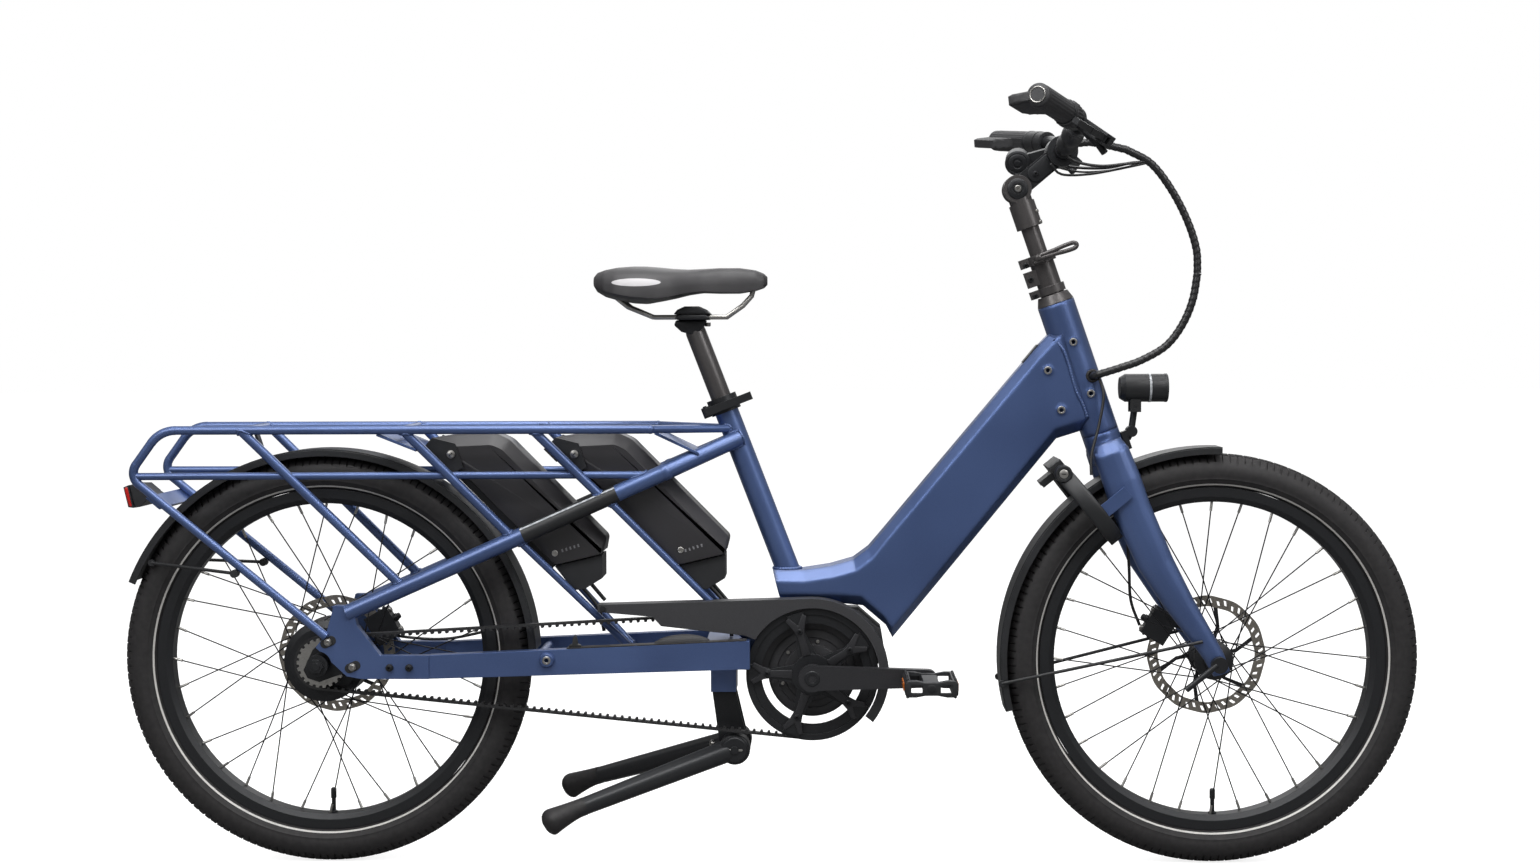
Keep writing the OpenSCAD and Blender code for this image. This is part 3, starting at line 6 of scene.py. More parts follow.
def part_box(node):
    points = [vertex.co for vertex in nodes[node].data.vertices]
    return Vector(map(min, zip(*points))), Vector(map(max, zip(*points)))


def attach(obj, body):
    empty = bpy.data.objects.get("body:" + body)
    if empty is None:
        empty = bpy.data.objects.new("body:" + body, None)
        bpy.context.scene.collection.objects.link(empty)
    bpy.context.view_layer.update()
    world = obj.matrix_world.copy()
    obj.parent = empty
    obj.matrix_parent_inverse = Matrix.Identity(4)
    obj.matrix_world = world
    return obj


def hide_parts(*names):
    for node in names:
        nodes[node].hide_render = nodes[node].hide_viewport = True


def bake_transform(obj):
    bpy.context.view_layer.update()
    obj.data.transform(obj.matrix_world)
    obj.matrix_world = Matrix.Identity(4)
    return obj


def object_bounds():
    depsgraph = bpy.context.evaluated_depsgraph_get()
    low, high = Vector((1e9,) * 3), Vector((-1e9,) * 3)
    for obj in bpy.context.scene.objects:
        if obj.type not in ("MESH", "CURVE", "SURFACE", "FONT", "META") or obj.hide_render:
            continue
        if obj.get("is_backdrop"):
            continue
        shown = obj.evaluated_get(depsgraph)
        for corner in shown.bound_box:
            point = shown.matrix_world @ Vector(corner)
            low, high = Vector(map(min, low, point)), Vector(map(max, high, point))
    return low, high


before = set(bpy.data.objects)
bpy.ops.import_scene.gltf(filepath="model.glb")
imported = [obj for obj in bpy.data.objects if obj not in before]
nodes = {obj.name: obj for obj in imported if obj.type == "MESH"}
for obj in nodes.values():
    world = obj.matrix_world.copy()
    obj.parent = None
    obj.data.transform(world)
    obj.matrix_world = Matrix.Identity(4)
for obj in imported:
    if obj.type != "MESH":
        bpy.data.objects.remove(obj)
cad_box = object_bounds()


# Camera: a normal lens on the drive side, a little above the rack and square to the bicycle.
# Its place, tilt and lens were fitted to the two wheel circles, so nothing is shifted.
MM = 0.001
camera_place = (0.0753, -3.2992, 0.7893)
turn, dip, roll = (math.radians(a) for a in (1.236, 2.442, 0.191))
focal_pixels, photo_pixels, sensor_width = 2194.2, 1540, 36
right = Vector((math.cos(turn), math.sin(turn), 0))
ahead = Vector((-math.sin(turn) * math.cos(dip), math.cos(turn) * math.cos(dip), -math.sin(dip)))
above = right.cross(ahead)
across = right * math.cos(roll) - above * math.sin(roll)
upward = right * math.sin(roll) + above * math.cos(roll)
aim = Matrix((across, upward, -ahead)).transposed().to_euler()
bpy.ops.object.camera_add(location=camera_place, rotation=aim)
camera = bpy.context.object
camera.data.sensor_width = sensor_width
camera.data.lens = sensor_width * focal_pixels / photo_pixels
bpy.context.scene.camera = camera
bpy.context.scene.view_settings.view_transform = "Standard"


# Studio: a pale painted floor that runs out of sight and meets a white surround.
# The floor glows a little where the camera looks, so that it reads as white and still holds the shadow.
# Towards the bicycle it is a dark cloth, which keeps the undersides of the tubes deep in tone.
def linear(code):
    """An sRGB hex colour as the linear one that Blender mixes in."""
    parts = [int(code[i:i + 2], 16) / 255 for i in (1, 3, 5)]
    return [c / 12.92 if c <= 0.04045 else ((c + 0.055) / 1.055) ** 2.4 for c in parts] + [1.0]


def wire(tree, node, settings=None, links=None):
    """Sets a node's values, or a ramp's stops, and joins other nodes' outputs to its sockets."""
    for name, value in (settings or {}).items():
        if name == "stops":
            for end, (stop, code) in zip(node.color_ramp.elements, value):
                end.position, end.color = stop, linear(code)
        elif isinstance(name, int) or name in node.inputs:
            node.inputs[name].default_value = value
        else:
            setattr(node, name, value)
    for name, output in (links or {}).items():
        tree.links.new(output, node.inputs[name])
    return node


def add(tree, kind, settings=None, links=None):
    """One new node, set and joined."""
    return wire(tree, tree.nodes.new("ShaderNode" + kind), settings, links)


def camera_sees(tree):
    """1 for what the camera sees, straight or through glass, and 0 for the light that the bicycle gets."""
    path = add(tree, "LightPath").outputs
    rays = {0: path["Is Camera Ray"], 1: path["Is Transmission Ray"]}
    return add(tree, "Math", {"operation": "MAXIMUM"}, rays).outputs[0]


white = linear("#ffffff")
bpy.ops.object.select_all(action="DESELECT")
bpy.ops.mesh.primitive_plane_add(size=60)
floor = bpy.context.object
floor.name = "floor"
floor_paint = bpy.data.materials.new("floor_paint")
floor_paint.use_nodes = True
tree = floor_paint.node_tree
tree.nodes.clear()
seen = camera_sees(tree)
paint = add(tree, "BsdfDiffuse", {"Color": linear("#b4b4b4")})
cloth = add(tree, "BsdfDiffuse", {"Color": linear("#787878")})
dim = add(tree, "Math", {"operation": "MULTIPLY", 1: 0.82}, {0: seen})
glow = add(tree, "Emission", {"Color": white}, {"Strength": dim.outputs[0]})
both = add(tree, "AddShader", None, {0: paint.outputs[0], 1: glow.outputs[0]})
laid = add(tree, "MixShader", None, {0: seen, 1: cloth.outputs[0], 2: both.outputs[0]})
add(tree, "OutputMaterial", None, {"Surface": laid.outputs[0]})
floor.data.materials.append(floor_paint)
floor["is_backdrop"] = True

# The surround lights the bicycle from above more than from the side, as a tent with a bright roof does.
surround = bpy.data.worlds.new("white_surround")
bpy.context.scene.world = surround
surround.use_nodes = True
tree = surround.node_tree
tree.nodes.clear()
height = add(tree, "SeparateXYZ", None, {0: add(tree, "TexCoord").outputs["Generated"]})
sky = add(tree, "MapRange", {"From Min": -0.1, "From Max": 0.9, "To Min": 0.1, "To Max": 0.62},
    {"Value": height.outputs["Z"]})
ambient = add(tree, "Background", {"Color": white}, {"Strength": sky.outputs["Result"]})
backdrop = add(tree, "Background", {"Color": white, "Strength": 1.0})
mixed = add(tree, "MixShader", None, {0: camera_sees(tree), 1: ambient.outputs[0], 2: backdrop.outputs[0]})
add(tree, "OutputWorld", None, {"Surface": mixed.outputs[0]})

# Soft boxes: a wide one overhead, a large one high on the camera's left, a weak one on its right, one behind,
# and a long narrow one above the camera that draws a bright line along the tubes.
for spot, target, size, depth, energy in (
    ((0.0, -0.5, 3.2), (0, 0, 0.4), 2.2, 2.2, 72),
    ((-2.2, -3.0, 2.6), (-0.2, 0, 0.5), 1.6, 1.6, 42),
    ((2.7, -2.4, 2.5), (0.3, 0, 0.5), 1.3, 1.3, 34),
    ((0.4, 3.0, 2.4), (0, 0, 0.5), 2.2, 2.2, 30),
    ((0.0, -1.5, 2.4), (0, 0, 0.5), 3.4, 0.22, 28),
):
    lean = (Vector(target) - Vector(spot)).to_track_quat("-Z", "Y").to_euler()
    bpy.ops.object.light_add(type="AREA", location=spot, rotation=lean)
    lamp = bpy.context.object.data
    lamp.shape = "RECTANGLE"
    lamp.size, lamp.size_y = size, depth
    lamp.energy = energy


# Frame: welded aluminium tubes, the fork with them, under one satin lacquer with fine metal flakes.
# The flakes lift the colour on edges that face the light, and the lacquer is slightly uneven close up.
# Real flakes are too fine to show, so they are drawn about 1 mm wide.
def blank(name):
    """A new material: itself, its node tree, its shader and its Object coordinates."""
    material = bpy.data.materials.new(name)
    material.use_nodes = True
    tree = material.node_tree
    return material, tree, tree.nodes["Principled BSDF"], add(tree, "TexCoord").outputs["Object"]


def dress(paint, *names):
    """Gives CAD nodes a material."""
    for name in names:
        mesh = nodes[name].data
        mesh.materials.clear()
        mesh.materials.append(paint)


frame_lacquer, tree, shader, place = blank("satin_blue_lacquer")
flakes = add(tree, "TexNoise", {"Scale": 1 / (1.1 * MM), "Detail": 2.0}, {"Vector": place}).outputs["Fac"]
cloud = add(tree, "TexNoise", {"Scale": 1 / (140 * MM), "Detail": 1.0}, {"Vector": place}).outputs["Fac"]
mixed = add(tree, "Math", {"operation": "MULTIPLY_ADD", 1: 0.35}, {0: flakes, 2: cloud})
tint = add(tree, "ValToRGB", {"stops": ((0.45, "#435682"), (0.9, "#506594"))}, {"Fac": mixed.outputs[0]})
rough = add(tree, "MapRange", {"To Min": 0.36, "To Max": 0.46}, {"Value": cloud})
edges = add(tree, "Bevel", {"Radius": 1.2 * MM, "samples": 4})
skin = add(tree, "Bump", {"Strength": 0.06, "Distance": 0.2 * MM},
    {"Height": flakes, "Normal": edges.outputs[0]})
wire(tree, shader, {"Metallic": 0.62, "Coat Weight": 0.5, "Coat Roughness": 0.2},
    {"Base Color": tint.outputs["Color"], "Roughness": rough.outputs["Result"],
        "Normal": skin.outputs["Normal"]})
dress(frame_lacquer, "seat_tube", "rear_stays", "rack")

# The large formed tubes have wide rounded edges.
formed_lacquer = frame_lacquer.copy()
formed_lacquer.name = "satin_blue_lacquer_on_formed_tubes"
for node in formed_lacquer.node_tree.nodes:
    if node.type == "BEVEL":
        node.samples, node.inputs["Radius"].default_value = 8, 9 * MM
dress(formed_lacquer, "head_tube", "down_tube", "fork")


# Black metal parts: forged and turned aluminium, bead-blasted and anodised black.
# The blasting leaves a fine grain, so the highlight is broad and grey.
# The grain is drawn about 1 mm wide, coarser than it really is, so that it shows.
def finish(name, grain, stops, roughness, metallic=0.0, edge=0.0, relief=None, pores=None):
    """A surface of two colours, each with its stop, in a grain of (size in mm, detail).
    A grain without detail is made of cells. edge rounds the edges, in mm. relief is (strength, depth in mm),
    pressed in by the pores, or else by the grain."""
    material, tree, shader, place = blank(name)
    patterns = []
    for size, detail in (grain, pores) if pores else (grain,):
        scale = {"Scale": 1 / (size * MM)}
        if detail:
            noise = add(tree, "TexNoise", {**scale, "Detail": detail}, {"Vector": place})
            patterns.append(noise.outputs["Fac"])
        else:
            cells = add(tree, "TexVoronoi", scale, {"Vector": place})
            patterns.append(cells.outputs["Distance"])
    tint = add(tree, "ValToRGB", {"stops": stops}, {"Fac": patterns[0]})
    facing = {"Normal": add(tree, "Bevel", {"Radius": edge * MM, "samples": 4}).outputs[0]} if edge else {}
    if relief:
        strength, depth = relief
        skin = add(tree, "Bump", {"Strength": strength, "Distance": depth * MM},
            {"Height": patterns[-1], **facing})
        facing = {"Normal": skin.outputs["Normal"]}
    wire(tree, shader, {"Metallic": metallic, "Roughness": roughness},
        {"Base Color": tint.outputs["Color"], **facing})
    return material


black_anodised = finish("black_anodised_aluminium", (0.9, 3.0), ((0.3, "#1b1c1e"), (0.75, "#2a2b2e")),
    0.42, 0.35, edge=0.9, relief=(0.15, 0.15))
dress(black_anodised, "seat_clamp", "rear_axle", "rear_caliper", "front_rim", "rear_rim", "front_hub",
    "rear_hub", "cranks", "front_pulley", "front_axle", "front_caliper", "stem_clamp", "stem_lever",
    "stem_post", "stem_arm", "handlebar", "right_brake_lever", "left_brake_lever", "seatpost", "seat_lever",
    "stand_legs", "stand_tower", "headlight_arm")


# Black plastic parts: glass-filled nylon, injection moulded in an eroded mould.
# The mould's texture shows as a fine even grain that breaks up the light.
# This grain, like that of the plastics and rubbers below, is drawn coarse enough to show.
moulded_black = finish("moulded_black_nylon", (60, 2.0), ((0.35, "#1a1b1d"), (0.7, "#222326")), 0.48,
    edge=1.0, relief=(0.25, 0.12), pores=(0.7, 2.0))
dress(moulded_black, "rear_fender", "front_fender", "front_fender_stays", "battery_docks", "ring_lock",
    "headlight", "bar_controls", "twist_shifter", "right_pedal", "left_pedal", "tail_light",
    "control_button", "cable_bundle", "grips", "saddle", "rear_battery", "front_battery", "front_tyre",
    "rear_tyre", "front_spokes", "rear_spokes")


# Grey plastic parts: the belt guard and the motor's cover, moulded in dark grey nylon and screwed on.
# The mould was only lightly eroded, so they have a satin skin.
guard_grey = finish("moulded_grey_nylon", (0.8, 2.0), ((0.3, "#2d2d2f"), (0.7, "#363639")), 0.5,
    edge=1.2, relief=(0.2, 0.12))
dress(guard_grey, "drive_unit", "belt_guard")


# Bright metal parts: zinc-plated bolts, the rear pulley, bearings, lock bar, saddle rails and brake discs.
# Rolled or turned, so a faint streaked grain and a tight highlight.
bright_steel, tree, shader, place = blank("plated_steel")
streaks = add(tree, "Mapping", {"Scale": (1.0, 1.0, 8.0)}, {"Vector": place})
grain = add(tree, "TexNoise", {"Scale": 1 / (2.5 * MM), "Detail": 3.0},
    {"Vector": streaks.outputs[0]}).outputs["Fac"]
tint = add(tree, "ValToRGB", {"stops": ((0.3, "#a09e9a"), (0.7, "#c4c2be"))}, {"Fac": grain})
rough = add(tree, "MapRange", {"To Min": 0.24, "To Max": 0.4}, {"Value": grain})
edges = add(tree, "Bevel", {"Radius": 0.5 * MM, "samples": 4})
wire(tree, shader, {"Metallic": 1.0},
    {"Base Color": tint.outputs["Color"], "Roughness": rough.outputs["Result"], "Normal": edges.outputs[0]})
dress(bright_steel, "headset_bearings", "frame_bolts", "front_disc", "rear_disc", "rear_pulley",
    "lock_shackle", "saddle_rails")


# Tyres: wire-bead rubber tyres with cut shoulder blocks, plain sidewalls and a reflecting band by the rim.
# Each is one moulded ring, drawn as a grid wrapped round the casing, with the grooves pressed into it.
AXLE = {"front": Vector((666, 0, 308.5)), "rear": Vector((-666, 0, 308.5))}
tyre_mid, casing, wall = 281.0, 27.5, 4.0
band_low, band_high = 128.4, 135.2
pitches = 168
block_edges = (0.0, 0.74, 0.79, 0.95)
half_profile = (0, 5, 6.5, 9, 10.5, 20, 21.5, 24, 25.5, 34, 42, 50, 57, 62, 70, 78, 86, 94, 102, 109, 111,
    113, 120, 125, 127.5, 128.5, 135, 136, 145)
outline = [-t for t in half_profile[:0:-1]] + list(half_profile)
lining = [132 - 24 * k for k in range(12)]

# The rubber is dull, with dust in its pores.
tyre_rubber = finish("black_tyre_rubber", (9, 4.0), ((0.3, "#1f1e1f"), (0.75, "#2b292a")), 0.62,
    relief=(0.3, 0.15), pores=(0.8, 2.0))
tyre_rubber.node_tree.nodes["Principled BSDF"].inputs["Specular IOR Level"].default_value = 0.4
# The band is white cloth set with glass beads, so it is pale and slightly grainy.
reflect_band = finish("glass_bead_band", (0.9, None), ((0, "#dcdad6"), (1, "#a9a7a3")), 0.45)


def closed(piece, weld=0.01):
    """Merges the points that meet, turns every face outward and ends the editing of a piece."""
    bpy.ops.mesh.select_all(action="SELECT")
    bpy.ops.mesh.remove_doubles(threshold=weld * MM)
    bpy.ops.mesh.normals_make_consistent(inside=False)
    bpy.ops.object.mode_set(mode="OBJECT")
    return piece


def wrap(name, columns, rows, spot):
    """A closed skin: a grid whose rows run round the piece, laid place by place in mm, its ends filled."""
    bpy.ops.object.select_all(action="DESELECT")
    bpy.ops.mesh.primitive_grid_add(x_subdivisions=columns, y_subdivisions=rows, size=2)
    piece = bpy.context.object
    piece.name = name
    for vertex in piece.data.vertices:
        i, j = round((vertex.co.x + 1) / 2 * columns), round((vertex.co.y + 1) / 2 * rows) % rows
        vertex.co = Vector(spot(i, j)) * MM
    bpy.ops.object.mode_set(mode="EDIT")
    bpy.ops.mesh.select_all(action="SELECT")
    bpy.ops.mesh.remove_doubles(threshold=0.01 * MM)
    bpy.ops.mesh.fill_holes(sides=0)
    return closed(piece)


def groove(angle, column, pitch):
    """How deep the tread is cut, in mm, at an angle from the crown."""
    side = abs(angle)
    if 6 < side < 9.5 or 21 < side < 24.5:
        return 1.9
    cross = column >= 2
    if side < 6:
        return 1.2 if cross and pitch % 2 else 0.0
    if side < 21:
        return 1.7 if cross else 0.0
    if side < 52:
        return 2.0 if cross else 0.0
    if side < 60:
        return 1.0 if cross and pitch % 2 == 0 else 0.0
    return -0.5 if 110 < side < 112 else -0.25 if 128 < side < 135.5 else 0.0


def tyre(name, end):
    def spot(i, j):
        pitch, column = divmod(i, len(block_edges))
        turn = 2 * math.pi * (pitch + block_edges[column]) / pitches
        if j < len(outline):
            angle, r = outline[j], casing - groove(outline[j], column, pitch)
        else:
            angle, r = lining[j - len(outline)], casing - wall
        across, out = r * math.sin(math.radians(angle)), tyre_mid + r * math.cos(math.radians(angle))
        return AXLE[end] + Vector((out * math.cos(turn), across, out * math.sin(turn)))

    piece = wrap(name, pitches * len(block_edges), len(outline) + len(lining), spot)
    piece.data.materials.append(tyre_rubber)
    piece.data.materials.append(reflect_band)
    for face in piece.data.polygons:
        middle = face.center / MM - AXLE[end]
        out = math.hypot(middle.x, middle.z) - tyre_mid
        angle = abs(math.degrees(math.atan2(middle.y, out)))
        face.material_index = int(band_low < angle < band_high and math.hypot(out, middle.y) > casing - 1)
    bpy.ops.object.shade_smooth_by_angle(angle=math.radians(28))
    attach(piece, end + "_wheel")
    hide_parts(end + "_tyre")


tyre("front_tread", "front")
tyre("rear_tread", "rear")


# Spokes: black stainless wire, each in a bright brass nipple at the rim.
# The black coat leaves a thin glossy line; faces beyond the nipple's foot are bright.
nipple_foot = 222.5
spoke_black = finish("black_spoke_wire", (3, 1.0), ((0, "#18181a"), (1, "#2e2e31")), 0.35, 0.6)
for end in AXLE:
    dress(spoke_black, end + "_spokes")
    mesh = nodes[end + "_spokes"].data
    mesh.materials.append(bright_steel)
    for face in mesh.polygons:
        spot = face.center / MM - AXLE[end]
        face.material_index = int(math.hypot(spot.x, spot.z) > nipple_foot)


# Valves: a black stem with a nut against the rim and a cap, one to each wheel.
# The stem stands on the inner face of the rim, beside the lowest spoke.
def drawn(name, points):
    """A new piece that is still being edited: a line drawn from point to point, in mm."""
    bpy.ops.object.select_all(action="DESELECT")
    bpy.ops.mesh.primitive_plane_add(size=1 * MM, enter_editmode=True)
    piece = bpy.context.object
    piece.name = name
    bpy.ops.mesh.merge(type="CENTER")
    bpy.ops.transform.translate(value=[c * MM for c in points[0]])
    for start, end in zip(points, points[1:]):
        step = [(b - a) * MM for a, b in zip(start, end)]
        bpy.ops.mesh.extrude_vertices_move(TRANSFORM_OT_translate={"value": step})
    bpy.ops.mesh.select_all(action="SELECT")
    return piece


def lathe(name, profile, place, axis, steps=32):
    """A turned piece: an outline of (radius, height) in mm, spun about its axis."""
    piece = drawn(name, [(r, 0, h) for r, h in profile])
    bpy.ops.mesh.spin(steps=steps, angle=2 * math.pi, center=(0, 0, 0), axis=(0, 0, 1))
    closed(piece)
    lean = Vector(axis).to_track_quat("Z", "Y").to_matrix().to_4x4()
    piece.data.transform(Matrix.Translation(Vector(place) * MM) @ lean)
    return piece


def fit(piece, body, paint, smooth=35):
    """Shades a finished piece, gives it its material and lets it ride on a body."""
    bpy.ops.object.select_all(action="DESELECT")
    bpy.context.view_layer.objects.active = piece
    piece.select_set(True)
    bpy.ops.object.shade_smooth_by_angle(angle=math.radians(smooth))
    if not piece.data.materials:
        piece.data.materials.append(paint)
    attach(piece, body)
    return piece


valve_ahead, rim_inside = 4, 236.2
valve = [(0, 0), (6, 0), (6, 2.5), (3.2, 3), (3.2, 22), (4.2, 22.5), (4.2, 36), (2.5, 38), (0, 38)]
for end in AXLE:
    foot = AXLE[end] + Vector((valve_ahead, 0, -rim_inside))
    fit(lathe(end + "_valve", valve, foot, (0, 0, 1), 20), end + "_wheel", black_anodised)


# Batteries: two equal cases of grey-black nylon, each hung in a dock under the rack and locked at its top.
# A case is two moulded halves with a broad chamfer along the upper edge, and a button and lamps low on it.
def slab(name, outline, low, high, edge=0.0, steps=3):
    """A flat piece: an outline of (x, z) in mm, drawn out from y low to high, with its edges rounded."""
    piece = drawn(name, [(x, low, z) for x, z in outline])
    bpy.ops.mesh.edge_face_add()
    bpy.ops.mesh.extrude_region_move(TRANSFORM_OT_translate={"value": (0, (high - low) * MM, 0)})
    closed(piece)
    if edge:
        edges = piece.modifiers.new("edges", "BEVEL")
        edges.width, edges.segments, edges.limit_method = edge * MM, steps, "ANGLE"
        bpy.ops.object.modifier_apply(modifier="edges")
    return piece


def moved_in(corners, insets):
    """An outline with each of its sides moved in by its own amount; it runs clockwise in x and z."""
    sides = []
    for (x, z), (to_x, to_z), inset in zip(corners, corners[1:] + corners[:1], insets):
        run = Vector((to_x - x, to_z - z)).normalized()
        sides.append((Vector((x, z)) + Vector((run.y, -run.x)) * inset, run))
    out = []
    for (p, u), (q, v) in zip(sides[-1:] + sides[:-1], sides):
        out.append(q + v * (u.cross(p - q) / u.cross(v)))
    return out


def softened(corners, radius, cuts=5):
    """An outline with each corner drawn as a short curve."""
    out = []
    for before, here, after in zip(corners[-1:] + corners[:-1], corners, corners[1:] + corners[:1]):
        start, end = here + (before - here).normalized() * radius, here + (after - here).normalized() * radius
        for t in (k / (cuts - 1) for k in range(cuts)):
            out.append(start * (1 - t) ** 2 + here * 2 * t * (1 - t) + end * t**2)
    return out


# The cases' fine grain keeps them matt, and the unlit lamps are frosted grey windows.
case_grey = finish("battery_case_nylon", (90, 1.0), ((0.35, "#2c2b2d"), (0.7, "#323134")), 0.42,
    relief=(0.2, 0.1), pores=(0.6, 2.0))
lamp_white = finish("unlit_lamp_window", (0.5, 2.0), ((0, "#626265"), (1, "#78787b")), 0.3)

# The upper edge is cut back by 17 mm and the others are only rounded.
# Each ring is the outline at a half width, moved in along its upper sides and its other sides.
case_outline = [(-504, 643), (-470, 648), (-407, 651), (-385, 641), (-240, 494), (-246, 470), (-317, 453)]
case_rings = ((43, 17, 2.4), (42.4, 16.4, 1.0), (41, 15, 0.2), (27.4, 1.4, 0), (25.6, 0.3, 0), (20, 0, 0))
case_corner = 6
button = [(0, 0), (4.6, 0), (4.6, 1.0), (3.8, 1.4), (3.4, 0.9), (0, 0.9)]
lamp_foot, lamp_step = Vector((-306, 473)), Vector((6, 1.9))
lamp_window = ((0, 0), (2.4, 0.6), (1.2, 5), (-1.2, 4.4))
NEAR = (0, -1, 0)
for shift, body, (x, z) in ((0, "rear_battery", (-316.7, 471.3)), (184, "front_battery", (-128.7, 476.3))):
    corners = [(corner_x + shift, corner_z) for corner_x, corner_z in case_outline]
    rings = []
    for half, crest, plain in case_rings:
        insets = [max(crest, plain)] * 4 + [plain] * 3
        rings.append((half, softened(moved_in(corners, insets), case_corner)))
    rings = [(-half, ring) for half, ring in rings] + [(half, ring) for half, ring in rings[::-1]]
    case = wrap(body + "_case", len(rings) - 1, len(rings[0][1]),
        lambda i, j: (rings[i][1][j].x, rings[i][0], rings[i][1][j].y))
    fit(case, body, case_grey, 30)
    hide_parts(body)
    fit(lathe(body + "_button", button, (x, -42.6, z), NEAR, 24), body, bright_steel)
    for k in range(5):
        foot = lamp_foot + Vector((shift, 0)) + lamp_step * k
        window = [(foot.x + to_x, foot.y + to_z) for to_x, to_z in lamp_window]
        fit(slab(f"{body}_lamp_{k + 1}", window, -43.3, -42.5), body, lamp_white)


# Saddle: a moulded nylon shell with a thick foam top and a smooth synthetic cover drawn tight over it.
# The cover is glued under the edge of the shell; each side of the tail bears a pale oval.
def between(table, x):
    """Reads a table of rows that start with x, in straight steps from row to row."""
    for low, high in zip(table, table[1:]):
        if x <= high[0]:
            t = (x - low[0]) / (high[0] - low[0])
            return [a + (b - a) * t for a, b in zip(low[1:], high[1:])]
    return list(table[-1][1:])


# Each row: how far along, half width, height of the top, of the cover's edge and of the shell's underside.
saddle_rows = ((-258, 26, 884, 873, 868), (-252, 52, 890, 867, 860), (-240, 72, 894, 862, 853),
    (-222, 83, 897.5, 857, 848), (-200, 89, 899, 853, 844), (-180, 90, 899, 851, 843),
    (-160, 86, 897.5, 850, 847), (-140, 75, 895.5, 853, 851), (-118, 58, 894.5, 858, 856),
    (-96, 43, 895.5, 861, 859), (-70, 32, 897, 860, 858), (-40, 25, 896.5, 859.5, 858),
    (-16, 21, 893, 863, 862), (-4, 15.5, 888, 867, 866), (1, 9, 883, 872, 871))
saddle_tail, saddle_length = -258, 259
saddle_steps, saddle_sides = 72, 48
channel_x, channel_reach, channel_half, channel_depth = -150, 110, 9, 3.2


def saddle_spot(i, j):
    x = saddle_tail + saddle_length * (1 - math.cos(math.pi * i / saddle_steps)) / 2
    half, top, rim, low = between(saddle_rows, x)
    turn = 2 * math.pi * j / saddle_sides
    across, rise = math.cos(turn), math.sin(turn)
    y = half * math.copysign(abs(across) ** 0.72, across)
    if rise >= 0:
        z = rim + (top - rim) * rise ** 0.62
        share = max(0.0, 1 - abs(x - channel_x) / channel_reach)
        z -= channel_depth * math.exp(-(y / channel_half) ** 2) * share
    else:
        y *= 0.96 - 0.3 * abs(rise)
        z = rim - (rim - low) * abs(rise) ** 0.5
    return (x, y, z)


# The pale oval lies about one place on the tail, so it is drawn by its distance from there.
pale_oval_x, pale_oval_z, pale_oval_long, pale_oval_tall = -0.190, 0.8735, 0.036, 0.0058
saddle_cover, tree, shader, place = blank("saddle_cover_vinyl")
grain = add(tree, "TexVoronoi", {"Scale": 1 / (1.4 * MM)}, {"Vector": place})
cloud = add(tree, "TexNoise", {"Scale": 1 / (45 * MM), "Detail": 2.0}, {"Vector": place})
tint = add(tree, "ValToRGB", {"stops": ((0.3, "#29282a"), (0.7, "#323133"))}, {"Fac": cloud.outputs["Fac"]})
oval = add(tree, "Mapping", {"Scale": (1 / pale_oval_long, 0, 1 / pale_oval_tall),
    "Location": (-pale_oval_x / pale_oval_long, 0, -pale_oval_z / pale_oval_tall)}, {"Vector": place})
reach = add(tree, "VectorMath", {"operation": "LENGTH"}, {0: oval.outputs[0]})
pale_oval = add(tree, "Math", {"operation": "LESS_THAN", 1: 1.0}, {0: reach.outputs["Value"]})
tone = add(tree, "MixRGB", {"Color2": linear("#b4b2b4")},
    {"Fac": pale_oval.outputs[0], "Color1": tint.outputs["Color"]})
skin = add(tree, "Bump", {"Strength": 0.18, "Distance": 0.15 * MM}, {"Height": grain.outputs["Distance"]})
wire(tree, shader, {"Roughness": 0.5},
    {"Base Color": tone.outputs["Color"], "Normal": skin.outputs["Normal"]})

seat_pad = wrap("saddle_pad", saddle_steps, saddle_sides, saddle_spot)
seat_pad.data.materials.append(saddle_cover)
seat_pad.data.materials.append(moulded_black)
for face in seat_pad.data.polygons:
    spot = face.center / MM
    face.material_index = int(spot.z < between(saddle_rows, spot.x)[2] - 0.4)
fit(seat_pad, "seat", saddle_cover, 50)
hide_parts("saddle")


# Grips: soft rubber sleeves with a flat palm rest behind, held by a metal collar at the inner end.
# The rest grows out of the sleeve; the bar's end is closed by a plug with a bright ring.
bar_tip, grip_aim = Vector((372, 340, 1115.1)), Vector((-79, 178, 20)).normalized()
tilt, sweep = math.acos(grip_aim.z), math.atan2(grip_aim.y, grip_aim.x)
grip_frame = (Matrix.Translation(bar_tip - 120 * grip_aim) @ Matrix.Rotation(sweep, 4, "Z")
    @ Matrix.Rotation(tilt, 4, "Y") @ Matrix.Rotation(math.pi, 4, "Z"))
grip_r, grip_length = 16.5, 123
grip_ribs, rib_rise, rib_start, rib_stop = 22, 0.35, 6, 112
rest_lean, rest_half, rest_reach = math.radians(262), 7.8, 26
sleeve_steps, sleeve_sides = 60, 88


def on_grip(x, y, z, side):
    """A place in the grip's own frame: x up, y forward, z outward, in mm; side is 1 left and -1 right."""
    spot = grip_frame @ Vector((x, y, z))
    return Vector((spot.x, side * spot.y, spot.z))


